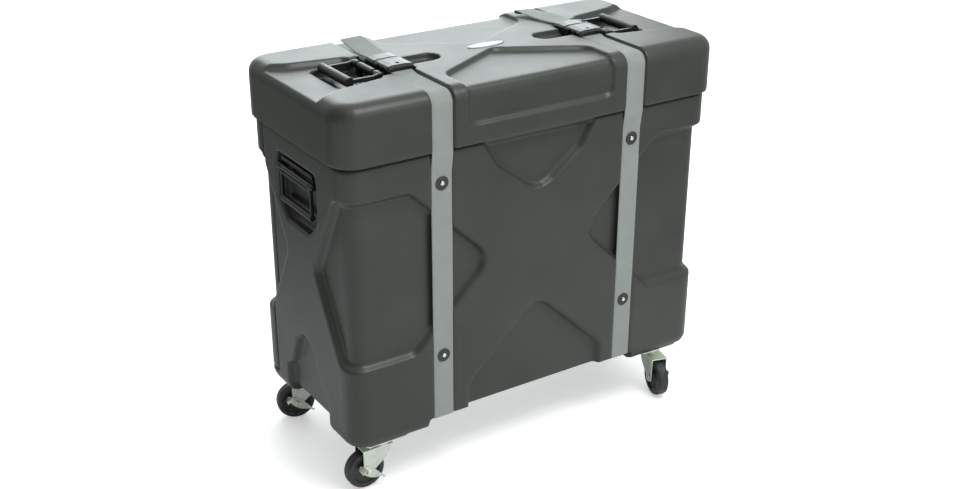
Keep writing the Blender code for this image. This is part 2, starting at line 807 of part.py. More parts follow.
def build_buckle(word, side):
    middle = side * channel_middle
    low = lid_floor + touch
    high = low + buckle_high
    name = "buckle_" + word
    socket = buckle_block(name + "_socket", low, high, buckle_front, buckle_split, buckle_half, black_plastic)
    cut(socket, tool_box("hollow", (-0.0245, 0.0245), (buckle_front + 0.014, 0.02), (low + 0.003, high - 0.0045)))
    for hand in (-1, 1):
        reach = sorted((hand * 0.020, hand * 0.05))
        cut(socket, tool_box("window", reach, (window_front, window_back), (low + 0.003, high - 0.0045)))
    half_slot = strap_width / 2 + 0.0008
    slot = (lid_floor + slot_low - 0.0008, lid_floor + slot_low + strap_thick + 0.0008)
    cut(socket, tool_box("slot", (-half_slot, half_slot), (-0.1, buckle_front + 0.009), slot))
    cut(socket, tool_slab("hole", circle(0.0035, 12, (0.0, buckle_front + 0.016)), high - 0.008, high + 0.01))
    plug_low = buckle_split + 0.0004
    plug = buckle_block(name + "_plug", low, high - 0.001, plug_low, buckle_back, buckle_half - 0.0005, black_plastic)
    room_low = lid_floor + bar_z - bar_radius - fit - strap_thick - 0.0010
    room_high = lid_floor + bar_z + bar_radius + fit + strap_thick + 0.0012
    room = tool_box("room", (-half_slot, half_slot), (bar_y - 0.0075, 0.06), (room_low, room_high))
    bar = tool_slab("bar", circle(bar_radius, 12, (bar_y, lid_floor + bar_z)), -0.028, 0.028, "YZ")
    cut(plug, room, tool_box("mouth", (-half_slot, half_slot), (buckle_back - 0.008, 0.06), (0.5, room_high)))
    join(plug, bar)
    tongue_low = low + 0.0056
    tongue_high = high - 0.0055
    tongue = [(-0.006, buckle_split + 0.004), (-0.004, window_front + 0.002), (0.004, window_front + 0.002), (0.006, buckle_split + 0.004)]
    join(plug, slab("tongue", tongue, tongue_low, tongue_high))
    for hand in (-1, 1):
        root = (hand * arm_pivot_x, arm_pivot_y / 2)
        tab = rounded_box(0.0045, 0.0060, 0.003, 2, root)
        join(plug, slab("tab", tab, low + 0.0033, tongue_low - touch))
        stud = circle(stud_radius, 12, (hand * arm_pivot_x, arm_pivot_y))
        join(plug, slab("stud", stud, low + 0.0040, tongue_high))
    made = [socket, plug]
    for word_side, hand in (("outer", side), ("inner", -side)):
        arm = arm_outline(hand)
        catch = slab(name + "_arm_" + word_side, arm, tongue_low, tongue_high, "XY", black_plastic)
        eye = circle(stud_radius + fit, 12, (hand * arm_pivot_x, arm_pivot_y))
        made.append(cut(catch, tool_slab("eye", eye, 0.5, 1.0)))
    for thing in made:
        thing.data.transform(Matrix.Translation((middle, 0, 0)))
    for thing, hand in zip(made[2:], (side, -side)):
        pivot(thing, (middle + hand * arm_pivot_x, arm_pivot_y, (tongue_low + tongue_high) / 2))
    return made


def arm_outline(hand):
    """One catch arm: a round root at its pivot, a slim leg and a thumb pad in the window."""
    points = []
    for step in range(9):
        angle = math.pi * step / 8
        points.append((arm_pivot_x + 0.0042 * math.cos(angle), arm_pivot_y + 0.0042 * math.sin(angle)))
    points += [
        (0.0125, -0.020),
        (0.0150, window_front + 0.0025),
        (0.0200, window_front + 0.0012),
        (buckle_half - 0.0005, window_front + 0.0050),
        (buckle_half - 0.0005, -0.0210),
        (0.0225, window_back - 0.0012),
    ]
    points = points if hand > 0 else mirrored(points)[::-1]
    return points


# Casters.
plate_half_x = 0.045
plate_half_y = 0.032
plate_thick = 0.003
race_radius = 0.024
race_low = caster_height - touch - plate_thick - 0.006
leg_thick = 0.0025
leg_inner = wheel_width / 2 + 0.0025
crown_low = 0.0850
pedal_thick = 0.0022
pedal_inner = leg_inner + leg_thick + touch


def build_plate(name):
    top = caster_height - touch
    plate = slab(name, rounded_box(plate_half_x, plate_half_y, 0.007, 2), top - plate_thick, top, "XY", zinc)
    race = [(circle(race_radius - 0.003, 24), race_low), (circle(race_radius, 24), race_low + 0.003), (circle(race_radius, 24), top - plate_thick / 2)]
    join(plate, loft("race", race))
    for u in (-1, 1):
        for v in (-1, 1):
            place = (u * (plate_half_x - 0.009), v * (plate_half_y - 0.008))
            join(plate, slab("bolt", circle(0.0050, 6, place), top - plate_thick - 0.0035, top - plate_thick / 2))
    return plate


def build_fork(name):
    """Drawn with the wheel trailing towards +X."""
    crown_top = race_low - touch
    outer = leg_inner + leg_thick
    crown = rounded_box(0.021, outer, 0.010, 3, (0.0, 0.0))
    fork = slab(name, crown, crown_low, crown_low + 0.0028, "XY", zinc)
    dome = [(circle(0.0165, 24), crown_low + 0.001), (circle(0.0165, 24), crown_top - 0.003), (circle(0.0215, 24), crown_top - 0.0015), (circle(0.0215, 24), crown_top)]
    join(fork, loft("dome", dome))
    for side in (-1, 1):
        ends = sorted((side * leg_inner, side * outer))
        leg = [(-0.011, crown_low + 0.0028), (0.021, crown_low + 0.0028)]
        for step in range(9):
            angle = math.radians(20 - 165 * step / 8)
            leg.append((caster_trail + 0.0115 * math.cos(angle), wheel_radius + 0.0115 * math.sin(angle)))
        leg.append((-0.011, crown_low - 0.006))
        leg = leg[::-1]
        join(fork, slab("leg", leg, ends[0], ends[1], "XZ"))
    hole = circle(axle_radius + fit, 16, (caster_trail, wheel_radius))
    cut(fork, tool_slab("hole", hole, -0.05, 0.05, "XZ"))
    return fork


def build_wheel(name):
    half = wheel_width / 2
    bore = axle_radius + fit
    hub = 0.013
    right = [
        (bore, half + 0.0015),
        (hub - 0.001, half + 0.0015),
        (hub, half - 0.0005),
        (hub + 0.002, half - 0.0045),
        (0.0265, half - 0.0045),
        (0.0285, half - 0.0010),
        (0.0350, half - 0.0010),
        (0.0385, half - 0.0035),
        (wheel_radius, half - 0.0080),
    ]
    profile = right + [(radius, -height) for radius, height in reversed(right)]
    shape = bmesh.new()
    points = [shape.verts.new((radius, 0.0, height)) for radius, height in profile]
    edges = [shape.edges.new(pair) for pair in zip(points, points[1:] + points[:1])]
    bmesh.ops.spin(shape, geom=points + edges, axis=(0, 0, 1), cent=(0, 0, 0), angle=2 * math.pi, steps=32, use_merge=True)
    bmesh.ops.remove_doubles(shape, verts=shape.verts, dist=1e-6)
    bmesh.ops.recalc_face_normals(shape, faces=shape.faces)
    made_mesh = bpy.data.meshes.new(name)
    shape.to_mesh(made_mesh)
    shape.free()
    wheel = add(name, made_mesh, wheel_rubber)
    return placed(wheel, columns((1, 0, 0), (0, 0, 1), (0, -1, 0), (caster_trail, 0, wheel_radius)))


def build_axle(name):
    """A bolt head on the plain side, a nut on the pedal side."""
    place = (caster_trail, wheel_radius)
    head_in = leg_inner + leg_thick + touch
    nut_in = pedal_inner + pedal_thick + touch
    axle = slab(name, circle(axle_radius, 16, place), -head_in - 0.002, nut_in + 0.006, "XZ", zinc)
    join(axle, slab("head", circle(0.0070, 16, place), -head_in - 0.0035, -head_in, "XZ"))
    join(axle, slab("nut", circle(0.0072, 6, place), nut_in, nut_in + 0.0050, "XZ"))
    return axle


def build_pedal(name):
    """A stamped brake lever on the axle, with a foot tab that stands out sideways."""
    low = pedal_inner
    high = pedal_inner + pedal_thick
    points = []
    for step in range(9):
        angle = math.radians(60 + 240 * step / 8)
        points.append((caster_trail + 0.0125 * math.cos(angle), wheel_radius + 0.0125 * math.sin(angle)))
    points += [(caster_trail + 0.020, wheel_radius - 0.010), (caster_trail + 0.024, wheel_radius + 0.002), (caster_trail + 0.016, wheel_radius + 0.011)]
    pedal = slab(name, points, low, high, "XZ", zinc)
    tab = rounded_box(0.0125, 0.0120, 0.005, 2, (caster_trail + 0.0115, high + 0.0105))
    tab_low = wheel_radius - 0.0125
    join(pedal, slab("tab", tab, tab_low, tab_low + 0.0024))
    web = [(caster_trail + 0.0005, low + 0.0004), (caster_trail + 0.0225, low + 0.0004), (caster_trail + 0.0225, high + 0.001), (caster_trail + 0.0005, high + 0.001)]
    join(pedal, slab("web", web, tab_low, wheel_radius - 0.0085))
    hole = circle(axle_radius + fit, 16, (caster_trail, wheel_radius))
    return cut(pedal, tool_slab("hole", hole, -0.05, 0.05, "XZ"))


caster_places = {
    "front_left": (-1, -1, 180),
    "front_right": (1, -1, -104),
    "back_left": (-1, 1, 166),
    "back_right": (1, 1, 104),
}


def build_caster(word):
    side_x, side_y, turn = caster_places[word]
    name = "caster_" + word
    swivel = Vector((side_x * caster_x, side_y * caster_y, 0.0))
    plate = placed(build_plate(name + "_plate"), Matrix.Translation(swivel))
    frame = Matrix.Translation(swivel) @ Matrix.Rotation(math.radians(turn), 4, "Z")
    fork = placed(build_fork(name + "_fork"), frame)
    wheel = placed(build_wheel(name + "_wheel"), frame)
    axle = placed(build_axle(name + "_axle"), frame)
    pedal = placed(build_pedal(name + "_pedal"), frame)
    pivot(fork, swivel)
    for thing in (wheel, axle, pedal):
        pivot(thing, frame @ Vector((caster_trail, 0.0, wheel_radius)))
    return [plate, fork, wheel, axle, pedal]


tub, cover = build_body()
lid = build_lid()
badge = build_badge()
everything = [tub, cover, lid, badge]
everything += build_handles()
everything += build_straps()
for word, side in (("left", -1), ("right", 1)):
    everything += build_buckle(word, side)
for word in caster_places:
    everything += build_caster(word)
for thing in everything:
    smooth(thing)
print(len(everything), "pieces")
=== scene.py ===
import json
import math

import bmesh
import bpy
from mathutils import Matrix, Vector


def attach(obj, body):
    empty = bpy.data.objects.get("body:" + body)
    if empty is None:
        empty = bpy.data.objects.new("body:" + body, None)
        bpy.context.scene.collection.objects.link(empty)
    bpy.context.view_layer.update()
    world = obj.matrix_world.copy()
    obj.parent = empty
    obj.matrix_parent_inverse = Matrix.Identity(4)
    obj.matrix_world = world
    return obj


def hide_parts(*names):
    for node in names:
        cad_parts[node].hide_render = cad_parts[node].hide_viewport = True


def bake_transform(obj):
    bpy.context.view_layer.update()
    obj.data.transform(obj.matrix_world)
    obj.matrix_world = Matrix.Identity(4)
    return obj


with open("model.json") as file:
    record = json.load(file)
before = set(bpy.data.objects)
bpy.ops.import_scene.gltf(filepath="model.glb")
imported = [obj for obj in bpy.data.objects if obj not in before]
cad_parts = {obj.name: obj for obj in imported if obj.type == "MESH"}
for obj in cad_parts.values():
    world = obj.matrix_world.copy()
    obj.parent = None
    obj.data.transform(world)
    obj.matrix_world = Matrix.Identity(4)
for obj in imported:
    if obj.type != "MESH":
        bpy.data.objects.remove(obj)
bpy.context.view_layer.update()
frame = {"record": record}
print("frame loaded")


def deselect():
    if bpy.context.mode != "OBJECT":
        bpy.ops.object.mode_set(mode="OBJECT")
    bpy.ops.object.select_all(action="DESELECT")


def makeActive(obj):
    deselect()
    obj.select_set(True)
    bpy.context.view_layer.objects.active = obj


def cadObject(name):
    return bpy.data.objects[name]


def bodyOf(nodeName):
    for body, members in frame["record"]["behaviour"]["bodies"].items():
        if nodeName in members:
            return body
    raise ValueError(nodeName)


def copyOfNode(nodeName, pieceName):
    # a merged copy of a CAD node's mesh, ready for modifiers
    mesh = cadObject(nodeName).data.copy()
    mesh.name = pieceName
    piece = bpy.data.objects.new(pieceName, mesh)
    bpy.context.scene.collection.objects.link(piece)
    makeActive(piece)
    bpy.ops.object.mode_set(mode="EDIT")
    bpy.ops.mesh.select_all(action="SELECT")
    bpy.ops.mesh.remove_doubles(threshold=0.00002)
    bpy.ops.mesh.dissolve_limited(angle_limit=math.radians(0.6))
    bpy.ops.object.mode_set(mode="OBJECT")
    return piece


def applyModifier(piece, kind, **settings):
    makeActive(piece)
    modifier = piece.modifiers.new(kind.lower(), kind)
    for key, value in settings.items():
        setattr(modifier, key, value)
    bpy.ops.object.modifier_apply(modifier=modifier.name)


def shadeSmooth(piece, degrees=35):
    makeActive(piece)
    bpy.ops.object.shade_smooth_by_angle(angle=math.radians(degrees))


def setMaterial(piece, material):
    piece.data.materials.clear()
    piece.data.materials.append(material)


def newMaterial(name):
    material = bpy.data.materials.new(name)
    material.use_nodes = True
    tree = material.node_tree
    return material, tree, tree.nodes["Principled BSDF"]


def link(tree, a, aSocket, b, bSocket):
    tree.links.new(a.outputs[aSocket], b.inputs[bSocket])


def objectCoords(tree, scale=(1, 1, 1)):
    coords = tree.nodes.new("ShaderNodeTexCoord")
    mapping = tree.nodes.new("ShaderNodeMapping")
    mapping.inputs["Scale"].default_value = scale
    link(tree, coords, "Object", mapping, "Vector")
    return mapping


def noiseNode(tree, source, scale, detail=3.0, roughness=0.5):
    noise = tree.nodes.new("ShaderNodeTexNoise")
    noise.inputs["Scale"].default_value = scale
    noise.inputs["Detail"].default_value = detail
    noise.inputs["Roughness"].default_value = roughness
    link(tree, source, "Vector", noise, "Vector")
    return noise


def rampNode(tree, source, sourceSocket, stops):
    ramp = tree.nodes.new("ShaderNodeValToRGB")
    elements = ramp.color_ramp.elements
    while len(elements) < len(stops):
        elements.new(0.5)
    for element, (place, color) in zip(elements, stops):
        element.position = place
        element.color = (*color, 1) if len(color) == 3 else color
    link(tree, source, sourceSocket, ramp, "Fac")
    return ramp


def rangeNode(tree, source, sourceSocket, low, high, fromLow=0.3, fromHigh=0.7):
    node = tree.nodes.new("ShaderNodeMapRange")
    node.inputs["From Min"].default_value = fromLow
    node.inputs["From Max"].default_value = fromHigh
    node.inputs["To Min"].default_value = low
    node.inputs["To Max"].default_value = high
    link(tree, source, sourceSocket, node, "Value")
    return node


def bumpNode(tree, height, heightSocket, distance, strength=1.0, below=None):
    bump = tree.nodes.new("ShaderNodeBump")
    bump.inputs["Distance"].default_value = distance
    bump.inputs["Strength"].default_value = strength
    link(tree, height, heightSocket, bump, "Height")
    if below is not None:
        link(tree, below, "Normal", bump, "Normal")
    return bump


shellLook = {
    "color": (0.032, 0.035, 0.029),
    "lighter": (0.043, 0.047, 0.040),
    "roughness": (0.33, 0.43),
    "reflection": 1.45,
    "grainScale": 1500,
    "grainDepth": 0.00005,
    "scuffs": 0.35,
}


def shellMaterial():
    material, tree, shader = newMaterial("mouldedShell")
    coords = objectCoords(tree)
    cloud = noiseNode(tree, coords, 7, 6, 0.62)
    stops = [(0.32, shellLook["color"]), (0.68, shellLook["lighter"])]
    color = rampNode(tree, cloud, "Fac", stops)
    # pale rubbed lines, mostly along the case
    streaks = objectCoords(tree, (0.25, 0.25, 1.0))
    lines = noiseNode(tree, streaks, 210, 8, 0.75)
    rubbed = rangeNode(tree, lines, "Fac", 0.0, shellLook["scuffs"], 0.66, 0.80)
    mix = tree.nodes.new("ShaderNodeMix")
    mix.data_type = "RGBA"
    link(tree, rubbed, "Result", mix, 0)
    tree.links.new(color.outputs["Color"], mix.inputs[6])
    mix.inputs[7].default_value = (0.10, 0.11, 0.105, 1)
    tree.links.new(mix.outputs[2], shader.inputs["Base Color"])
    rough = rangeNode(tree, cloud, "Fac", *shellLook["roughness"])
    link(tree, rough, "Result", shader, "Roughness")
    shader.inputs["IOR"].default_value = shellLook["reflection"]
    grain = noiseNode(tree, coords, shellLook["grainScale"], 2, 0.5)
    fine = bumpNode(tree, grain, "Fac", shellLook["grainDepth"])
    wave = noiseNode(tree, coords, 26, 2, 0.4)
    waves = bumpNode(tree, wave, "Fac", 0.0006, 0.5, fine)
    link(tree, waves, "Normal", shader, "Normal")
    return material


blackLook = {
    "color": (0.006, 0.006, 0.007),
    "dust": (0.026, 0.027, 0.026),
    "roughness": (0.26, 0.38),
}


def blackMaterial():
    material, tree, shader = newMaterial("blackMoulding")
    coords = objectCoords(tree)
    cloud = noiseNode(tree, coords, 55, 5, 0.65)
    color = rampNode(tree, cloud, "Fac", [(0.55, blackLook["color"]), (0.85, blackLook["dust"])])
    link(tree, color, "Color", shader, "Base Color")
    rough = rangeNode(tree, cloud, "Fac", *blackLook["roughness"])
    link(tree, rough, "Result", shader, "Roughness")
    grain = noiseNode(tree, coords, 1600, 2)
    bump = bumpNode(tree, grain, "Fac", 0.00002)
    link(tree, bump, "Normal", shader, "Normal")
    return material


gripLook = {
    "color": (0.008, 0.008, 0.009),
    "worn": (0.024, 0.024, 0.024),
    "roughness": (0.30, 0.46),
}


def gripMaterial():
    material, tree, shader = newMaterial("gripRubber")
    coords = objectCoords(tree)
    cloud = noiseNode(tree, coords, 70, 4, 0.6)
    color = rampNode(tree, cloud, "Fac", [(0.45, gripLook["color"]), (0.8, gripLook["worn"])])
    link(tree, color, "Color", shader, "Base Color")
    rough = rangeNode(tree, cloud, "Fac", *gripLook["roughness"])
    link(tree, rough, "Result", shader, "Roughness")
    grain = noiseNode(tree, coords, 900, 3)
    bump = bumpNode(tree, grain, "Fac", 0.00006)
    link(tree, bump, "Normal", shader, "Normal")
    return material


zincLook = {"color": (0.76, 0.79, 0.73), "darker": (0.60, 0.65, 0.58), "roughness": (0.26, 0.42)}


def zincMaterial(name="zincPlate", color=None, darker=None, roughness=None):
    material, tree, shader = newMaterial(name)
    coords = objectCoords(tree)
    patches = noiseNode(tree, coords, 60, 5, 0.65)
    stops = [(0.32, darker or zincLook["darker"]), (0.62, color or zincLook["color"])]
    ramp = rampNode(tree, patches, "Fac", stops)
    link(tree, ramp, "Color", shader, "Base Color")
    shader.inputs["Metallic"].default_value = 1.0
    rough = rangeNode(tree, patches, "Fac", *(roughness or zincLook["roughness"]))
    link(tree, rough, "Result", shader, "Roughness")
    scratches = objectCoords(tree, (1, 1, 14))
    lines = noiseNode(tree, scratches, 260, 2)
    bump = bumpNode(tree, lines, "Fac", 0.00003)
    link(tree, bump, "Normal", shader, "Normal")
    return material


wheelLook = {
    "color": (0.016, 0.017, 0.018),
    "dust": (0.060, 0.062, 0.060),
    "roughness": (0.28, 0.55),
}


def wheelMaterial():
    material, tree, shader = newMaterial("wheelRubber")
    coords = objectCoords(tree)
    dust = noiseNode(tree, coords, 75, 6, 0.7)
    color = rampNode(tree, dust, "Fac", [(0.45, wheelLook["color"]), (0.78, wheelLook["dust"])])
    link(tree, color, "Color", shader, "Base Color")
    rough = rangeNode(tree, dust, "Fac", *wheelLook["roughness"])
    link(tree, rough, "Result", shader, "Roughness")
    grain = noiseNode(tree, coords, 1100, 2)
    bump = bumpNode(tree, grain, "Fac", 0.00006)
    link(tree, bump, "Normal", shader, "Normal")
    return material


weaveLook = {
    "color": (0.385, 0.415, 0.395),
    "gap": (0.200, 0.217, 0.207),
    "cord": 0.0016,
    "pick": 0.0011,
    "depth": 0.00028,
}


def mathNode(tree, operation, first, second=None):
    # one step of arithmetic: each input is a number or a (node, socket) pair
    node = tree.nodes.new("ShaderNodeMath")
    node.operation = operation
    for index, value in enumerate((first, second)):
        if value is None:
            continue
        if isinstance(value, tuple):
            tree.links.new(value[0].outputs[value[1]], node.inputs[index])
        else:
            node.inputs[index].default_value = value
    return node


def weaveMaterial():
    # herringbone webbing, drawn from the strip's own UVs, which are metres across and along it
    material, tree, shader = newMaterial("wovenWebbing")
    place = tree.nodes.new("ShaderNodeUVMap")
    place.uv_map = "alongStrip"
    parts = tree.nodes.new("ShaderNodeSeparateXYZ")
    link(tree, place, "UV", parts, "Vector")
    across = (parts, "X")
    along = (parts, "Y")
    cordTurns = mathNode(tree, "MULTIPLY", across, 2 * math.pi / weaveLook["cord"])
    cords = mathNode(tree, "SINE", (cordTurns, 0))
    fold = mathNode(tree, "PINGPONG", across, weaveLook["cord"] * 2)
    slant = mathNode(tree, "ADD", along, (fold, 0))
    pickTurns = mathNode(tree, "MULTIPLY", (slant, 0), 2 * math.pi / weaveLook["pick"])
    picks = mathNode(tree, "SINE", (pickTurns, 0))
    weave = mathNode(tree, "MULTIPLY", (cords, 0), (picks, 0))
    coords = objectCoords(tree)
    fuzz = noiseNode(tree, coords, 900, 3, 0.6)
    cloud = noiseNode(tree, coords, 22, 4, 0.6)
    hairs = mathNode(tree, "MULTIPLY", (fuzz, "Fac"), 1.4)
    mottled = mathNode(tree, "ADD", (weave, 0), (hairs, 0))
    shade = mathNode(tree, "ADD", (mottled, 0), (cloud, "Fac"))
    shade = rangeNode(tree, shade, 0, 0.0, 1.0, -0.2, 2.0)
    stops = [(0.10, weaveLook["gap"]), (0.62, weaveLook["color"])]
    ramp = rampNode(tree, shade, "Result", stops)
    # darker selvedges
    edge = mathNode(tree, "ABSOLUTE", across)
    rim = rangeNode(tree, edge, 0, 0.0, 0.45, 0.0200, 0.0218)
    mix = tree.nodes.new("ShaderNodeMix")
    mix.data_type = "RGBA"
    link(tree, rim, "Result", mix, 0)
    tree.links.new(ramp.outputs["Color"], mix.inputs[6])
    mix.inputs[7].default_value = (*weaveLook["gap"], 1)
    tree.links.new(mix.outputs[2], shader.inputs["Base Color"])
    shader.inputs["Roughness"].default_value = 0.72
    shader.inputs["Sheen Weight"].default_value = 0.25
    shader.inputs["Sheen Roughness"].default_value = 0.4
    bump = bumpNode(tree, mottled, 0, weaveLook["depth"])
    link(tree, bump, "Normal", shader, "Normal")
    return material


badgeLook = {"color": (0.42, 0.44, 0.44), "darker": (0.30, 0.32, 0.32), "roughness": (0.34, 0.46)}


def badgeMaterial():
    material, tree, shader = newMaterial("satinBadge")
    brushed = objectCoords(tree, (0.06, 1, 1))
    lines = noiseNode(tree, brushed, 1900, 4, 0.6)
    color = rampNode(tree, lines, "Fac", [(0.3, badgeLook["darker"]), (0.7, badgeLook["color"])])
    link(tree, color, "Color", shader, "Base Color")
    shader.inputs["Metallic"].default_value = 0.85
    rough = rangeNode(tree, lines, "Fac", *badgeLook["roughness"])
    link(tree, rough, "Result", shader, "Roughness")
    bump = bumpNode(tree, lines, "Fac", 0.00002)
    link(tree, bump, "Normal", shader, "Normal")
    return material


washerLook = {
    "color": (0.085, 0.088, 0.085),
    "darker": (0.060, 0.063, 0.060),
    "roughness": (0.42, 0.56),
}
rivetLook = {
    "color": (0.80, 0.82, 0.80),
    "darker": (0.62, 0.64, 0.62),
    "roughness": (0.16, 0.28),
}

materials = {
    "shell": shellMaterial(),
    "black": blackMaterial(),
    "grip": gripMaterial(),
    "zinc": zincMaterial(),
    "washer": zincMaterial("dullWasher", **washerLook),
    "rivet": zincMaterial("brightRivet", **rivetLook),
    "wheel": wheelMaterial(),
    "weave": weaveMaterial(),
    "badge": badgeMaterial(),
}
print("materials made")

# small distances that every form shares, in metres
clearance = {"touch": 0.0003, "fit": 0.0004, "weld": 0.000001}

# the moulded case below and around the lid, in metres, standing on its casters
caseForm = {
    "casterHeight": 0.105,
    "length": 0.850,
    "depth": 0.400,
    "corner": 0.047,
    "overhang": 0.008,
    "wall": 0.005,
    "relief": 0.014,
    "wallRun": 0.65,
    "footRound": 0.018,
    "underside": 0.022,
    "floorWall": 0.004,
    "neckHeight": 0.048,
    "neckGap": 0.0015,
    "coverLine": 0.1365,
    "seam": 0.0030,
}

# how far the cutters for the sunk ground reach below its floor and out of the wall
cutter = {"below": 0.006, "proud": 0.030, "panelBelow": 0.004, "panelProud": 0.010}

# the sunk tracks that the webbing lies in
channel = {"middle": 0.2175, "width": 0.047, "sink": 0.0045, "lidDepth": 0.008}


def above(height):
    return caseForm["casterHeight"] + height


lidLow = above(0.5735)
lidHigh = above(0.686)
lobeLow = above(0.169)
lobeHigh = above(0.506)
tubEdge = above(0.567)
tubHalfX = caseForm["length"] / 2 - caseForm["overhang"]
tubHalfY = caseForm["depth"] / 2 - caseForm["overhang"]
tubCorner = caseForm["corner"] - caseForm["overhang"]
lidHalfX = caseForm["length"] / 2
lidHalfY = caseForm["depth"] / 2
skirtWall = channel["lidDepth"] + caseForm["wall"]
neckHalfX = lidHalfX - skirtWall - caseForm["neckGap"]
neckHalfY = lidHalfY - skirtWall - caseForm["neckGap"]
neckTop = tubEdge + caseForm["neckHeight"]
channelIn = channel["middle"] - channel["width"] / 2
channelOut = channel["middle"] + channel["width"] / 2
lidFloor = lidHigh - channel["lidDepth"]
recessX = tubHalfX - caseForm["relief"]
recessY = tubHalfY - caseForm["relief"]
channelY = tubHalfY - channel["sink"]


def planeMatrix(plane):
    # turns the XY plane of a drawn outline into the plane that is named
    if plane == "XZ":
        return Matrix(((1, 0, 0), (0, 0, -1), (0, 1, 0))).to_4x4()
    if plane == "YZ":
        return Matrix(((0, 0, 1), (1, 0, 0), (0, 1, 0))).to_4x4()
    return Matrix.Identity(4)


def roundedBox(halfU, halfV, corner, steps=5, middle=(0.0, 0.0)):
    points = []
    for index, (sideU, sideV) in enumerate(((1, 1), (-1, 1), (-1, -1), (1, -1))):
        centreU = middle[0] + sideU * (halfU - corner)
        centreV = middle[1] + sideV * (halfV - corner)
        for step in range(steps + 1):
            angle = math.pi / 2 * (index + step / steps)
            points.append((centreU + corner * math.cos(angle), centreV + corner * math.sin(angle)))
    return points


def softened(points, radii, steps=3):
    # a polygon with each corner turned into an arc: one radius for each corner, 0 keeps it sharp
    made = []
    count = len(points)
    for i in range(count):
        here = Vector(points[i])
        if not radii[i]:
            made.append(tuple(here))
            continue
        back = (Vector(points[i - 1]) - here).normalized()
        ahead = (Vector(points[(i + 1) % count]) - here).normalized()
        half = back.angle(ahead) / 2
        centre = here + (back + ahead).normalized() * (radii[i] / math.sin(half))
        first = here + back * (radii[i] / math.tan(half)) - centre
        last = here + ahead * (radii[i] / math.tan(half)) - centre
        turn = first.angle_signed(last)
        start = math.atan2(first.y, first.x)
        for step in range(steps + 1):
            angle = start - turn * step / steps
            arm = (radii[i] * math.cos(angle), radii[i] * math.sin(angle))
            made.append((centre.x + arm[0], centre.y + arm[1]))
    return made


def oval(halfX, halfY, steps):
    turn = 2 * math.pi / steps
    return [(halfX * math.cos(turn * i), halfY * math.sin(turn * i)) for i in range(steps)]


def circle(radius, steps, middle=(0.0, 0.0)):
    return [(middle[0] + u, middle[1] + v) for u, v in oval(radius, radius, steps)]


def grown(outline, distance):
    # the outline with each side moved out by a distance, in against the winding when negative
    count = len(outline)
    area = sum(
        outline[i - 1][0] * outline[i][1] - outline[i][0] * outline[i - 1][1] for i in range(count)
    )
    side = 1.0 if area > 0 else -1.0
    moved = []
    for i in range(count):
        here = Vector(outline[i])
        before = (here - Vector(outline[i - 1])).normalized()
        after = (Vector(outline[(i + 1) % count]) - here).normalized()
        normalBefore = Vector((before.y, -before.x)) * side
        normalAfter = Vector((after.y, -after.x)) * side
        middle = normalBefore + normalAfter
        middle = middle / max(middle.length_squared, 0.5) * 2
        moved.append(tuple(here + middle * distance))
    return moved


def loft(name, loops, plane="XY"):
    # one closed body through flat loops of equal count, each given as (outline, height)
    shape = bmesh.new()
    rings = []
    for outline, height in loops:
        rings.append([shape.verts.new((u, v, height)) for u, v in outline])
    for low, high in zip(rings, rings[1:]):
        for i in range(len(low)):
            j = (i + 1) % len(low)
            shape.faces.new((low[i], low[j], high[j], high[i]))
    shape.faces.new(list(reversed(rings[0])))
    shape.faces.new(rings[-1])
    shape.transform(planeMatrix(plane))
    bmesh.ops.recalc_face_normals(shape, faces=shape.faces)
    madeMesh = bpy.data.meshes.new(name)
    shape.to_mesh(madeMesh)
    shape.free()
    made = bpy.data.objects.new(name, madeMesh)
    bpy.context.scene.collection.objects.link(made)
    return made


def span(low, high, plane):
    # a range along the drawn plane's normal: the XZ plane's normal points to the front
    return (-high, -low) if plane == "XZ" else (low, high)


def slab(name, outline, low, high, plane="XY"):
    low, high = span(low, high, plane)
    return loft(name, [(outline, low), (outline, high)], plane)


def toolBox(name, x, y, z):
    corners = [(x[0], y[0]), (x[1], y[0]), (x[1], y[1]), (x[0], y[1])]
    return slab(name, corners, z[0], z[1])


def applyBoolean(target, other, operation):
    # bakes one Boolean into the target, clears the slivers it leaves and removes the other body
    change = target.modifiers.new("join", "BOOLEAN")
    change.operation = operation
    change.solver = "EXACT"
    change.object = other
    bpy.context.view_layer.update()
    graph = bpy.context.evaluated_depsgraph_get()
    result = bpy.data.meshes.new_from_object(target.evaluated_get(graph))
    target.modifiers.remove(change)
    shape = bmesh.new()
    shape.from_mesh(result)
    bmesh.ops.remove_doubles(shape, verts=shape.verts, dist=clearance["weld"])
    bmesh.ops.dissolve_degenerate(shape, edges=shape.edges, dist=clearance["weld"])
    shape.to_mesh(result)
    shape.free()
    target.data = result
    bpy.data.objects.remove(other, do_unlink=True)
    return target


def cut(target, *others):
    for other in others:
        applyBoolean(target, other, "DIFFERENCE")
    return target


def join(target, *others):
    for other in others:
        applyBoolean(target, other, "UNION")
    return target


def placed(thing, matrix):
    thing.data.transform(matrix)
    return thing


def mirrored(points):
    return [(-u, v) for u, v in points]


def topLobe():
    right = [(channelIn - 0.094, above(0.515)), (channelIn - 0.044, above(0.600))]
    points = [(0.0, above(0.439)), *right, *reversed(mirrored(right))]
    return softened(points, [0.050, 0.040, 0, 0, 0.040])


def footLobe(apex, spread, shoulder, base, low):
    points = [(0.0, apex), (-spread, shoulder), (-base, above(0.070)), (-base, low)]
    points += [(base, low), (base, above(0.070)), (spread, shoulder)]
    return softened(points, [0.040, 0.022, 0, 0, 0, 0, 0.022])


def sideLobe():
    far = tubHalfX + 0.063
    points = [
        (0.103, above(0.336)),
        (0.282, lobeHigh),
        (far, lobeHigh),
        (far, lobeLow),
        (0.277, lobeLow),
    ]
    return softened(points, [0.040, 0.030, 0, 0, 0.030], 4)


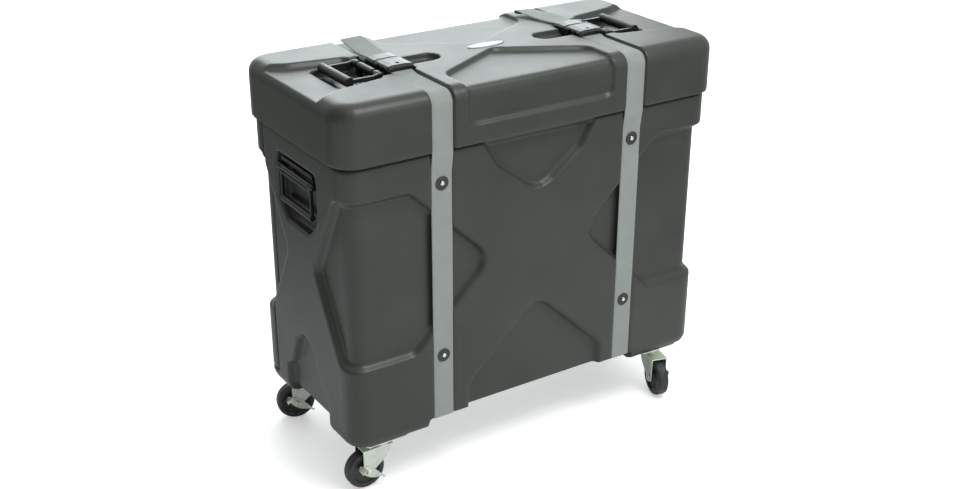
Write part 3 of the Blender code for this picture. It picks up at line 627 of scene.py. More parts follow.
def endLobe():
    far = tubHalfY + 0.068
    points = [
        (0.052, above(0.336)),
        (0.145, lobeHigh),
        (far, lobeHigh),
        (far, lobeLow),
        (0.147, lobeLow),
    ]
    return softened(points, [0.030, 0.022, 0, 0, 0.022], 4)


def reliefTool(name, outline, plane, side, face):
    # a cutter with sloping walls: full size at the raised face, smaller below it
    sink = caseForm["relief"] + cutter["below"]
    proud = cutter["proud"]
    inner = (grown(outline, -sink * caseForm["wallRun"]), side * (face - sink))
    middle = (outline, side * face)
    outer = (grown(outline, proud * caseForm["wallRun"]), side * (face + proud))
    loops = [inner, middle, outer] if side > 0 else [outer, middle, inner]
    if plane == "XZ":
        loops = [(points, -height) for points, height in reversed(loops)]
    return loft(name, loops, plane)


def cornerTool(sideX, sideY, inset):
    # takes the waist out of one upright corner, so that its edges run level round it
    sink = caseForm["relief"] + cutter["below"]
    proud = cutter["proud"]
    loops = []
    for depth, height in (
        (-proud, lobeLow - proud * caseForm["wallRun"]),
        (sink, lobeLow + sink * caseForm["wallRun"]),
        (sink, lobeHigh - sink * caseForm["wallRun"]),
        (-proud, lobeHigh + proud * caseForm["wallRun"]),
    ):
        pull = depth + inset - clearance["touch"]
        loops.append((roundedBox(tubHalfX - pull, tubHalfY - pull, tubCorner - pull), height))
    spool = loft("spool", loops)
    across = sorted((sideX * (tubHalfX - tubCorner - 0.002), sideX * (tubHalfX + 0.025)))
    along = sorted((sideY * (tubHalfY - tubCorner + 0.008), sideY * (tubHalfY + 0.025)))
    low = lobeLow - proud * caseForm["wallRun"] + 0.002
    high = lobeHigh + proud * caseForm["wallRun"] - 0.002
    return cut(toolBox("corner", across, along, (low, high)), spool)


def bodyForm(name, inset=0.0):
    # the outside of the closed body below the lid, or the same form shrunk by an inset
    halfX = tubHalfX - inset
    halfY = tubHalfY - inset
    corner = tubCorner - inset
    bottom = caseForm["casterHeight"] + inset
    loops = []
    for step in range(3):
        angle = math.pi / 4 * step
        pull = caseForm["footRound"] * (1 - math.sin(angle))
        outline = roundedBox(halfX - pull, halfY - pull, max(corner - pull, 0.006))
        loops.append((outline, bottom + caseForm["footRound"] * (1 - math.cos(angle))))
    loops.append((roundedBox(halfX, halfY, corner), tubEdge))
    body = loft(name, loops)
    for side in (-1, 1):
        cut(body, reliefTool("top", topLobe(), "XZ", side, halfY))
        spread = channelIn - 0.046
        foot = footLobe(above(0.2276), spread, above(0.088), channelIn - 0.031, above(-0.030))
        cut(body, reliefTool("foot", foot, "XZ", side, halfY))
        endFoot = footLobe(above(0.230), 0.064, above(0.088), 0.090, above(-0.030))
        cut(body, reliefTool("end_foot", endFoot, "YZ", side, halfX))
        for hand in (-1, 1):
            front = sideLobe() if hand > 0 else mirrored(sideLobe())[::-1]
            cut(body, reliefTool("side", front, "XZ", side, halfY))
            end = endLobe() if hand > 0 else mirrored(endLobe())[::-1]
            cut(body, reliefTool("end", end, "YZ", side, halfX))
            cut(body, cornerTool(hand, side, inset))
    for hand in (-1, 1):
        across = sorted((hand * (channelIn + inset), hand * (channelOut - inset)))
        for side in (-1, 1):
            along = sorted((side * (channelY - inset), side * (halfY + 0.050)))
            cut(body, toolBox("channel", across, along, (above(-0.02), above(0.70))))
    low = above(-0.010)
    top = above(caseForm["underside"] + inset)
    gapX = channelOut + 0.009 + inset
    gapY = 0.086 - inset
    cut(body, toolBox("belly", (-gapX, gapX), (-0.5, 0.5), (low, top)))
    cut(body, toolBox("belly", (-0.6, 0.6), (-gapY, gapY), (low, top)))
    core = roundedBox(recessX - inset, recessY - inset, 0.028)
    join(body, slab("core", core, above(caseForm["underside"]) + inset, tubEdge))
    return body


def neck():
    # the collar that the lid's skirt slips over
    return slab("neck", roundedBox(neckHalfX, neckHalfY, 0.034), tubEdge - 0.004, neckTop)


endPocket = {"sink": 0.017, "half": 0.082}
dishTop = above(0.531)


def recessForEndHandle(side):
    # the dished pocket that takes a handle in an end wall, with room for fingers below it
    knee = above(0.434)
    low = above(0.399)
    right = [(endPocket["half"], dishTop), (endPocket["half"], knee), (0.046, low)]
    outline = [*right, *reversed(mirrored(right))][::-1]
    radii = [0.012, 0.014, 0.012, 0.012, 0.014, 0.012]
    outline = softened(outline, radii)
    deep = tubHalfX - endPocket["sink"]
    loops = [(grown(outline, -0.004), side * deep), (outline, side * (tubHalfX + 0.002))]
    if side < 0:
        loops.reverse()
    return loft("dish", loops, "YZ")


lidTop = {
    "round": 0.028,
    "panelDepth": 0.009,
    "panelHalf": 0.165,
    "pocketHalf": 0.062,
    "pocketDepth": 0.026,
    "valleyDepth": 0.011,
    "scoopEnd": 0.105,
    "scoopHalf": 0.029,
    "scoopDepth": 0.013,
    "badgeHalfX": 0.0415,
    "badgeHalfY": 0.0145,
    "buckleFront": -0.054,
    "buckleBack": 0.034,
    "buckleHalf": 0.029,
}
pocketOut = lidHalfX - 0.075
pocketIn = pocketOut - 0.118


def lidPanel(side):
    # the sunk V that folds over the front or back edge of the lid
    # one cutter is for the wall, one for the top
    low = lidLow + 0.034
    high = low + 0.30
    half = lidTop["panelHalf"]
    corners = [(half, high), (-half, high), (-half, low), (half, low)]
    face = softened(corners, [0, 0, 0.020, 0.020])
    front = reliefPlain(face, "XZ", side, lidHalfY, lidTop["panelDepth"])
    back = lidHalfY + 0.10
    points = [(0.0, 0.020), (half, 0.112), (half, back), (-half, back), (-half, 0.112)]
    top = softened(points, [0.024, 0.030, 0, 0, 0.030])
    if side < 0:
        top = [(u, -v) for u, v in reversed(top)]
    sink = lidTop["panelDepth"] + cutter["panelBelow"]
    proud = cutter["panelProud"]
    floor = (grown(top, -sink * caseForm["wallRun"]), lidHigh - sink)
    mouth = (grown(top, proud * caseForm["wallRun"]), lidHigh + proud)
    return front, loft("panel", [floor, mouth])


def reliefPlain(outline, plane, side, face, depth):
    sink = depth + cutter["panelBelow"]
    proud = cutter["panelProud"]
    inner = (grown(outline, -sink * caseForm["wallRun"]), side * (face - sink))
    outer = (grown(outline, proud * caseForm["wallRun"]), side * (face + proud))
    loops = [inner, outer] if side > 0 else [outer, inner]
    if plane == "XZ":
        loops = [(points, -height) for points, height in reversed(loops)]
    return loft("panel", loops, plane)


def lidForm(name, pull, steps):
    # the closed lid, or the same form shrunk by a distance
    bend = lidTop["round"] - pull
    rim = roundedBox(lidHalfX - pull, lidHalfY - pull, caseForm["corner"] - pull)
    loops = [(rim, lidLow + pull)]
    for step in range(steps + 1):
        angle = math.pi / 2 * step / steps
        draw = pull + bend * (1 - math.cos(angle))
        outline = roundedBox(lidHalfX - draw, lidHalfY - draw, caseForm["corner"] - draw)
        loops.append((outline, lidHigh - pull - bend * (1 - math.sin(angle))))
    return loft(name, loops)


def overLid(rise):
    # the line over the lid along a strap, a little above the channel's floor, from front to back
    half = lidHalfY - channel["lidDepth"] + rise
    bend = lidTop["round"] - channel["lidDepth"] + rise
    middle = half - bend
    line = []
    for step in range(5):
        angle = math.pi / 2 * step / 4
        height = lidFloor + rise - bend + bend * math.sin(angle)
        line.append((-middle - bend * math.cos(angle), height))
    return line + [(-u, v) for u, v in reversed(line)]


def lidChannelOutline(high):
    line = overLid(0.0)
    low = 0.3
    start = [(-0.5, high), (-0.5, low), (line[0][0], low)]
    end = [(line[-1][0], low), (0.5, low), (0.5, high)]
    return start + line + end


def buildLid():
    lid = lidForm("case_lid", 0.0, 5)
    for side in (-1, 1):
        cut(lid, *lidPanel(side))
    join(lid, lidForm("panel_floor", lidTop["panelDepth"], 5))
    for hand in (-1, 1):
        across = sorted((hand * channelIn, hand * channelOut))
        high = lidHigh + 0.05
        cut(lid, slab("channel", lidChannelOutline(high), across[0], across[1], "YZ"))
        cut(lid, valley(hand))
        middle = (hand * (pocketIn + pocketOut) / 2, 0.0)
        pocket = roundedBox((pocketOut - pocketIn) / 2, lidTop["pocketHalf"], 0.012, 3, middle)
        floor = (grown(pocket, -0.002), lidHigh - lidTop["pocketDepth"])
        mouth = grown(pocket, 0.002)
        cut(lid, loft("pocket", [floor, (mouth, lidHigh), (mouth, high)]))
        length = (channel["middle"] - lidTop["scoopEnd"]) / 2
        half = lidTop["scoopHalf"]
        middle = (hand * (lidTop["scoopEnd"] + length), -0.008)
        scoop = roundedBox(length, half, half * 0.96, 4, middle)
        floor = (grown(scoop, -0.008), lidHigh - lidTop["scoopDepth"])
        cut(lid, loft("scoop", [floor, (grown(scoop, 0.004), high)]))
        halfSeat = (lidTop["buckleBack"] - lidTop["buckleFront"]) / 2 + 0.004
        centre = (hand * channel["middle"], (lidTop["buckleBack"] + lidTop["buckleFront"]) / 2)
        seat = roundedBox(lidTop["buckleHalf"] + 0.0025, halfSeat, 0.006, 2, centre)
        cut(lid, slab("seat", seat, lidFloor, high))
    wide = lidTop["badgeHalfX"] + clearance["fit"]
    narrow = lidTop["badgeHalfY"] + clearance["fit"]
    cut(lid, slab("badge_seat", oval(wide, narrow, 32), lidHigh - 0.0015, lidHigh + 0.01))
    return lid


def valley(hand):
    # the low ground between the front and the back corner blocks at one end of the lid
    points = [(pocketIn + 0.030, 0.074), (lidHalfX - 0.050, 0.094), (lidHalfX + 0.035, 0.138)]
    points += [(u, -v) for u, v in reversed(points)]
    outline = softened(points, [0.016, 0.060, 0, 0, 0.060, 0.016])
    if hand < 0:
        outline = mirrored(outline)
    depth = lidTop["valleyDepth"]
    floor = (grown(outline, -depth * caseForm["wallRun"]), lidHigh - depth)
    loops = [floor, (outline, lidHigh), (outline, lidHigh + 0.05)]
    return loft("valley", loops)


handleStock = {"base": 0.003, "pinRadius": 0.004}
topHandle = {
    "halfU": 0.0570,
    "halfV": 0.0545,
    "hingeV": -0.031,
    "gripV": 0.034,
    "lug": 0.030,
    "lugHalf": 0.0040,
    "eye": 0.0495,
    "eyeHalf": 0.0030,
    "eyeRadius": 0.0072,
    "rise": 0.0165,
    "gripRadius": 0.0095,
    "gripHalf": 0.0550,
    "sleeveRadius": 0.0078,
    "pinHalf": 0.0530,
    "armHalf": 0.0036,
    "ribs": 5,
}
endHandle = {
    "halfU": 0.0755,
    "halfV": 0.0420,
    "hingeV": -0.0205,
    "gripV": 0.0425,
    "lug": 0.0675,
    "lugHalf": 0.0035,
    "eye": 0.0600,
    "eyeHalf": 0.0020,
    "eyeRadius": 0.0062,
    "rise": 0.012,
    "gripRadius": 0.0062,
    "gripHalf": 0.0620,
    "sleeveRadius": 0.0056,
    "pinHalf": 0.0725,
    "armHalf": 0.0032,
    "ribs": 0,
}


def bothEnds(side, middle, half):
    return sorted((side * (middle - half), side * (middle + half)))


def basePlate(name, kind):
    halfU = kind["halfU"]
    halfV = kind["halfV"]
    thick = handleStock["base"]
    plate = slab(name, roundedBox(halfU, halfV, 0.010, 3), 0.0, thick)
    edge = slab("edge", roundedBox(halfU, halfV, 0.010, 3), thick / 2, thick + 0.0015)
    cut(edge, slab("inner", roundedBox(halfU - 0.003, halfV - 0.003, 0.007, 3), 0.0, 0.02))
    join(plate, edge)
    for index in range(kind["ribs"]):
        middle = kind["hingeV"] + 0.0145 + 0.0095 * index
        rib = roundedBox(0.038, 0.0018, 0.0017, 1, (0.0, middle))
        join(plate, slab("rib", rib, thick / 2, thick + 0.0020))
    axis = thick + kind["rise"]
    hinge = kind["hingeV"]
    for side in (-1, 1):
        ends = bothEnds(side, kind["lug"], kind["lugHalf"])
        lug = circle(0.0062, 16, (hinge, axis))
        foot = [(u, v) for u, v in lug if v >= axis - 1e-6]
        foot += [(hinge - 0.0072, thick / 2), (hinge + 0.0072, thick / 2)]
        join(plate, slab("lug", foot, ends[0], ends[1], "YZ"))
    if not kind["ribs"]:
        guard = roundedBox(halfU - 0.012, 0.0042, 0.0020, 2, (0.0, 0.0052 - halfV))
        join(plate, slab("guard", guard, thick / 2, axis - 0.001))
    hole = circle(handleStock["pinRadius"] + clearance["fit"], 16, (hinge, axis))
    cut(plate, slab("hole", hole, -0.10, 0.10, "YZ"))
    return plate


def bailShape(name, kind):
    # two arms and a grip, with eyes on the hinge pin
    # the end handle's arms have a flat bar between them
    axis = handleStock["base"] + kind["rise"]
    hinge = kind["hingeV"]
    reach = kind["gripV"]
    slim = kind["armHalf"]
    half = kind["gripHalf"]
    grip = slab(name, circle(kind["gripRadius"], 16, (reach, axis)), -half, half, "YZ")
    for side in (-1, 1):
        ends = bothEnds(side, kind["eye"], kind["eyeHalf"])
        eye = circle(kind["eyeRadius"], 16, (hinge, axis))
        low = axis - kind["eyeRadius"]
        high = axis + kind["eyeRadius"]
        arm = [(hinge, low), (hinge + 0.014, axis - slim), (reach, axis - slim)]
        arm += [(reach, axis + slim), (hinge + 0.014, axis + slim), (hinge, high)]
        arm += [(u, v) for u, v in eye if u <= hinge + 1e-6][1:-1]
        join(grip, slab("arm", arm, ends[0], ends[1], "YZ"))
    if not kind["ribs"]:
        bar = roundedBox(kind["eye"], 0.0035, 0.0015, 1, (0.0, hinge + 0.0115))
        join(grip, slab("bar", bar, axis - 0.0022, axis + 0.0022))
    hole = circle(handleStock["pinRadius"] + clearance["fit"], 16, (hinge, axis))
    cut(grip, slab("hole", hole, -0.10, 0.10, "YZ"))
    return grip


def pinShape(name, kind):
    # the hinge rod with a head at each end and sleeves between the lugs and the eyes
    axis = handleStock["base"] + kind["rise"]
    half = kind["pinHalf"]
    head = 0.0016
    hinge = kind["hingeV"]
    rod = circle(handleStock["pinRadius"], 16, (hinge, axis))
    pin = slab(name, rod, -half - head, half + head, "YZ")
    lugIn = kind["lug"] - kind["lugHalf"] - 0.0005
    lugOut = kind["lug"] + kind["lugHalf"] + 0.0005
    eyeIn = kind["eye"] - kind["eyeHalf"] - 0.0005
    sleeves = [(-min(lugIn, eyeIn), min(lugIn, eyeIn))]
    if eyeIn > lugOut:
        sleeves += [(lugOut, eyeIn), (-eyeIn, -lugOut)]
    for low, high in sleeves:
        join(pin, slab("sleeve", circle(kind["sleeveRadius"], 16, (hinge, axis)), low, high, "YZ"))
    for side in (-1, 1):
        ends = sorted((side * half, side * (half + head)))
        cap = circle(handleStock["pinRadius"] + 0.0018, 16, (hinge, axis))
        join(pin, slab("head", cap, ends[0], ends[1], "YZ"))
    return pin


def columns(u, v, w, origin):
    # a frame from its three directions, given as its columns, and its origin
    turnedFrame = Matrix((u, v, w)).transposed().to_4x4()
    turnedFrame.translation = origin
    return turnedFrame


caster = {
    "trail": 0.038,
    "wheelWidth": 0.026,
    "axleRadius": 0.004,
    "plate": 0.003,
    "race": 0.006,
    "leg": 0.0025,
    "bossRadius": 0.0095,
    "pedal": 0.0022,
}
wheelRadius = (caseForm["casterHeight"] - 0.025) / 2
raceLow = caseForm["casterHeight"] - clearance["touch"] - caster["plate"] - caster["race"]
legInner = caster["wheelWidth"] / 2 + 0.0025
crownLow = raceLow - 0.0107
pedalInner = legInner + caster["leg"] + clearance["touch"]


def buildFork(name):
    # drawn with the wheel trailing towards +X
    crownTop = raceLow - clearance["touch"]
    outer = legInner + caster["leg"]
    back = caster["trail"] + caster["bossRadius"]
    crown = roundedBox((back + 0.018) / 2, outer, 0.0025, 2, ((back - 0.018) / 2, 0.0))
    fork = slab(name, crown, crownLow, crownLow + 0.0028)
    neckRing = circle(0.0165, 24)
    domeRing = circle(0.0215, 24)
    dome = [(neckRing, crownLow + 0.001), (neckRing, crownTop - 0.003)]
    dome += [(domeRing, crownTop - 0.0015), (domeRing, crownTop)]
    join(fork, loft("dome", dome))
    for side in (-1, 1):
        ends = sorted((side * legInner, side * outer))
        heel = (0.0, wheelRadius + 0.020)
        leg = [(-0.018, crownLow + 0.0028), (back, crownLow + 0.0028)]
        for step in range(7):
            angle = math.radians(-130 * step / 6)
            boss = caster["bossRadius"]
            alongLeg = caster["trail"] + boss * math.cos(angle)
            leg.append((alongLeg, wheelRadius + boss * math.sin(angle)))
        leg = softened([*leg, heel], [0] * len(leg) + [0.040])[::-1]
        join(fork, slab("leg", leg, ends[0], ends[1], "XZ"))
    hole = circle(caster["axleRadius"] + clearance["fit"], 16, (caster["trail"], wheelRadius))
    cut(fork, slab("hole", hole, -0.05, 0.05, "XZ"))
    return fork


def buildAxle(name):
    # a bolt head on the plain side, a nut on the pedal side
    place = (caster["trail"], wheelRadius)
    headIn = legInner + caster["leg"] + clearance["touch"]
    nutIn = pedalInner + caster["pedal"] + clearance["touch"]
    rod = circle(caster["axleRadius"], 16, place)
    axle = slab(name, rod, -headIn - 0.002, nutIn + 0.006, "XZ")
    join(axle, slab("head", circle(0.0070, 16, place), -headIn - 0.0035, -headIn, "XZ"))
    join(axle, slab("nut", circle(0.0072, 6, place), nutIn, nutIn + 0.0050, "XZ"))
    return axle


def buildPedal(name):
    # a stamped brake lever on the axle: a leaf with a tail, and a foot tab out to the side
    low = pedalInner
    high = pedalInner + caster["pedal"]
    tip = Vector((caster["trail"] + 0.0193, wheelRadius + 0.0170))
    toe = Vector((caster["trail"] - 0.0273, wheelRadius - 0.0163))
    along = (toe - tip).normalized()
    across = Vector((along.y, -along.x))
    tail = toe + along * 0.010
    steps = 8
    upper = []
    lower = []
    for step in range(steps + 1):
        share = step / steps
        swell = 4 * share * (1 - share)
        middle = tip + (toe - tip) * share
        upper.append(tuple(middle + across * (0.0018 + 0.0060 * swell)))
        lower.append(tuple(middle - across * (0.0018 + 0.0100 * swell)))
    points = upper + [tuple(tail + across * 0.0018), tuple(tail - across * 0.0018)] + lower[::-1]
    pedal = slab(name, points, low, high, "XZ")
    slope = Vector((0.81, -0.58))
    thin = Vector((0.58, 0.81)) * 0.0011
    middle = tip - across * 0.0010 + along * 0.0022
    ends = (middle - slope * 0.0060, middle + slope * 0.0060)
    tab = [ends[0] + thin, ends[0] - thin, ends[1] - thin, ends[1] + thin]
    tab = [tuple(corner) for corner in tab]
    join(pedal, slab("tab", tab, low + 0.0004, high + 0.018, "XZ"))
    hole = circle(caster["axleRadius"] + clearance["fit"], 16, (caster["trail"], wheelRadius))
    return cut(pedal, slab("hole", hole, -0.05, 0.05, "XZ"))


print("outlines ready")

shell = {
    "voxel": 0.0031,
    "smoothing": 3,
    "keep": 0.42,
    "opening": 0.05,
    "lidRoof": 0.014,
    # each node's room: lowest corner, highest corner, radius of its upright edges, and where
    "rooms": {
        "case_tub": ((-0.3985, -0.1735, 0.1315), (0.3985, 0.1305, 0.720), 0.026, "front"),
        "case_rear_cover": ((-0.3985, 0.1380, 0.1385), (0.3985, 0.1735, 0.720), 0.026, "back"),
        "case_lid": ((-0.4125, -0.1875, 0.6785), (0.4125, 0.1875, 0.7735), 0.037, "all"),
    },
}


def roomPiece(name, low, high, corner, sides):
    # a box whose upright edges are rounded on the named sides
    shape = bmesh.new()
    bmesh.ops.create_cube(shape, size=1)
    for vertex in shape.verts:
        vertex.co = [low[i] if vertex.co[i] < 0 else high[i] for i in range(3)]
    upright = []
    for edge in shape.edges:
        first, second = (vertex.co for vertex in edge.verts)
        if abs(first.z - second.z) < 0.01:
            continue
        atFront = abs(first.y - low[1]) < 1e-6
        if sides == "all" or (sides == "front") == atFront:
            upright.append(edge)
    bmesh.ops.bevel(shape, geom=upright, offset=corner, segments=6, profile=0.5, affect="EDGES")
    mesh = bpy.data.meshes.new(name)
    shape.to_mesh(mesh)
    shape.free()
    room = bpy.data.objects.new(name, mesh)
    bpy.context.scene.collection.objects.link(room)
    return room


def cutRoom(piece, other):
    applyModifier(piece, "BOOLEAN", operation="DIFFERENCE", solver="EXACT", object=other)
    bpy.data.objects.remove(other, do_unlink=True)


def takePlace(piece, nodeName, look):
    # the piece moves with the node's body and stands for the node
    if look is not None:
        setMaterial(piece, materials[look])
    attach(piece, bodyOf(nodeName))
    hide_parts(nodeName)
    piece.data.calc_loop_triangles()
    print(piece.name, len(piece.data.loop_triangles), "triangles")
    return piece


def tubForm():
    tub = join(bodyForm("tub"), neck())
    line = caseForm["coverLine"] - caseForm["seam"] / 2
    floor = above(caseForm["underside"] + caseForm["floorWall"])
    behind = toolBox("behind", (-0.6, 0.6), (line, 0.6), (floor, 2))
    return cut(tub, behind, recessForEndHandle(-1), recessForEndHandle(1))


def coverForm():
    cover = join(bodyForm("cover"), neck())
    line = caseForm["coverLine"] + caseForm["seam"] / 2
    floor = above(caseForm["underside"] + caseForm["floorWall"]) + caseForm["seam"]
    ahead = toolBox("ahead", (-0.6, 0.6), (-0.6, line), (0, 2))
    below = toolBox("below", (-0.6, 0.6), (-0.6, 0.6), (0, floor))
    return cut(cover, ahead, below)


def softShell(nodeName, pieceName, piece):
    # every edge of the moulding is soft: the solid form is remeshed evenly and relaxed,
    # then its room is cut out
    low, high, corner, sides = shell["rooms"][nodeName]
    piece.name = pieceName
    applyModifier(piece, "REMESH", mode="VOXEL", voxel_size=shell["voxel"])
    applyModifier(piece, "SMOOTH", factor=0.5, iterations=shell["smoothing"])
    applyModifier(piece, "DECIMATE", decimate_type="COLLAPSE", ratio=shell["keep"])
    roomLow = list(low)
    roomHigh = [high[0], high[1], high[2] + shell["opening"]]
    if nodeName == "case_rear_cover":
        roomLow[1] -= shell["opening"]
    if nodeName == "case_lid":
        roomLow[2] -= shell["opening"]
        roomHigh[2] = high[2] - shell["lidRoof"]
    cutRoom(piece, roomPiece("room", roomLow, roomHigh, corner, sides))
    shadeSmooth(piece, 45)
    applyModifier(piece, "WEIGHTED_NORMAL", mode="FACE_AREA", weight=50, keep_sharp=True)
    return takePlace(piece, nodeName, "shell")


softShell("case_tub", "tubShell", tubForm())
softShell("case_rear_cover", "rearShell", coverForm())
softShell("case_lid", "lidShell", buildLid())
print("shell done")

# hardware whose CAD edges are sharp: voxel size, rounds of smoothing, share of faces kept
softening = {
    "buckle": (0.00042, 4, 0.35),
    "grip": (0.00060, 4, 0.35),
    "base": (0.00070, 2, 0.30),
    "pin": (0.00055, 2, 0.35),
    "fork": (0.00060, 2, 0.30),
    "pedal": (0.00045, 2, 0.30),
    "plate": (0.00070, 2, 0.30),
    "axle": (0.00040, 2, 0.35),
    "badge": (0.00032, 3, 0.4),
}


def softPiece(nodeName, pieceName, kind, look, made=None):
    # a made form, or a copy of a CAD node, with its edges rounded over by a fine remesh
    voxel, rounds, keep = softening[kind]
    piece = made or copyOfNode(nodeName, pieceName)
    piece.name = pieceName
    applyModifier(piece, "REMESH", mode="VOXEL", voxel_size=voxel)
    applyModifier(piece, "SMOOTH", factor=0.5, iterations=rounds)
    applyModifier(piece, "DECIMATE", decimate_type="COLLAPSE", ratio=keep)
    shadeSmooth(piece, 50)
    return takePlace(piece, nodeName, look)


def buildBuckles():
    parts = {
        "Socket": "socket",
        "Plug": "plug",
        "CatchOuter": "arm_outer",
        "CatchInner": "arm_inner",
    }
    for side in ("Left", "Right"):
        for part, nodePart in parts.items():
            nodeName = "buckle_" + side.lower() + "_" + nodePart
            softPiece(nodeName, "buckle" + side + part, "buckle", "black")


def handlePlace(where, side):
    # the hinge runs along U, the bail lies towards V and W points out of the wall
    if where == "top":
        floor = lidHigh - lidTop["pocketDepth"] + clearance["touch"]
        middle = (side * (pocketIn + pocketOut) / 2, 0, floor)
        return columns((0, -side, 0), (side, 0, 0), (0, 0, 1), middle)
    wall = tubHalfX - endPocket["sink"] + clearance["touch"]
    middle = (side * wall, 0, dishTop - 0.0065 - endHandle["halfV"])
    return columns((0, -side, 0), (0, 0, -1), (side, 0, 0), middle)


def buildHandles():
    for where in ("top", "end"):
        for side in ("left", "right"):
            stem = "handle_" + where + "_" + side
            name = where + side.title() + "Handle"
            kind = topHandle if where == "top" else endHandle
            place = handlePlace(where, -1 if side == "left" else 1)
            base = placed(basePlate(name, kind), place)
            pin = placed(pinShape(name, kind), place)
            bail = placed(bailShape(name, kind), place)
            softPiece(stem + "_base", name + "Base", "base", "black", base)
            softPiece(stem + "_pin", name + "Pin", "pin", "black", pin)
            softPiece(stem + "_bail", name + "Bail", "grip", "grip", bail)


buildBuckles()
buildHandles()
print("buckles and handles done")

strap = {
    "middle": 0.2175,
    "width": 0.0445,
    "thick": 0.0022,
    "step": 0.0035,
    "wall": 0.1889,
    "lip": 0.1934,
    "under": 0.1256,
    "lidFloor": 0.7844,
    "lidBend": 0.0214,
    "lidBendCentre": (0.172, 0.763),
    "slot": (-0.046, 0.7881),
    "bar": (0.020, 0.791),
    "barBend": 0.0041,
    "tailEnd": {"left": (0.113, 0.8141), "right": (0.152, 0.7991)},
    "tailStart": 0.040,
    "splay": 0.21,
    "hem": 0.013,
    "blend": (0.633, 0.677),
}


def arcPoints(centre, radius, start, end, count):
    angles = [math.radians(start + (end - start) * i / count) for i in range(count + 1)]
    return [(centre[0] + radius * math.cos(a), centre[1] + radius * math.sin(a)) for a in angles]


def strapPath(side):
    # the webbing's middle line in the YZ plane, from the hem at the tail's tip to the slot
    endY, endZ = strap["tailEnd"][side]
    barY, barZ = strap["bar"]
    start = strap["tailStart"]
    top = barZ + strap["barBend"]
    tail = []
    for index in range(13):
        share = 1 - index / 12
        tail.append((start + (endY - start) * share, top + (endZ - top) * share ** 1.6))
    slope = (tail[0][1] - tail[3][1]) / (tail[0][0] - tail[3][0])
    under = strap["thick"] + 0.0004
    hem = []
    for back in (strap["hem"], 0.001):
        hem.append((endY - back, endZ - slope * back - under))
    points = hem + [(endY + 0.0009, endZ - under / 2)] + tail
    points += arcPoints((barY, barZ), strap["barBend"], 90, 270, 8)
    points += [(barY + 0.010, barZ - strap["barBend"]), (barY + 0.022, strap["lidFloor"])]
    points += [(y, strap["lidFloor"]) for y in (0.060, 0.100, 0.140)]
    centre = strap["lidBendCentre"]
    points += arcPoints(centre, strap["lidBend"], 90, 0, 8)
    points += [(strap["lip"], z) for z in (0.740, 0.720, 0.700, 0.684, 0.668)]
    slack = 0.3 * (strap["lip"] - strap["wall"])
    points += [(strap["lip"] - slack, 0.660), (strap["wall"] + slack, 0.6455)]
    points += [(strap["wall"], 0.637)]
    points += [(strap["wall"], 0.620 - 0.04 * i) for i in range(13)]
    points += arcPoints((strap["wall"] - 0.0022, strap["under"] + 0.0022), 0.0022, 0, -90, 2)
    points += [(strap["wall"] - 0.01 - 0.035 * i, strap["under"]) for i in range(10)]
    rest = points[points.index((strap["wall"] - 0.01, strap["under"])) + 10:]
    front = arcPoints((-strap["wall"] + 0.0022, strap["under"] + 0.0022), 0.0022, 270, 180, 2)
    front += [(-strap["wall"], 0.620 - 0.04 * i) for i in range(12, -1, -1)]
    front += [(-strap["wall"], 0.637), (-strap["wall"] - slack, 0.6455)]
    front += [(-strap["lip"] + slack, 0.660)]
    front += [(-strap["lip"], z) for z in (0.668, 0.684, 0.700, 0.720, 0.740)]
    front += arcPoints((-centre[0], centre[1]), strap["lidBend"], 180, 90, 8)
    front += [(y, strap["lidFloor"]) for y in (-0.140, -0.100, -0.068)]
    front += [(-0.056, strap["slot"][1]), strap["slot"]]
    return points + rest + front


def evenly(points, step):
    # the same line with points an even step apart, its corners eased once
    eased = [points[0]]
    for first, second in zip(points, points[1:]):
        eased.append(tuple(0.8 * a + 0.2 * b for a, b in zip(first, second)))
        eased.append(tuple(0.2 * a + 0.8 * b for a, b in zip(first, second)))
    eased.append(points[-1])
    made = [Vector(eased[0])]
    left = step
    for first, second in zip(eased, eased[1:]):
        here = Vector(first)
        length = (Vector(second) - here).length
        while length > left:
            here = here + (Vector(second) - here).normalized() * left
            made.append(here.copy())
            length -= left
            left = step
        left -= length
    return made


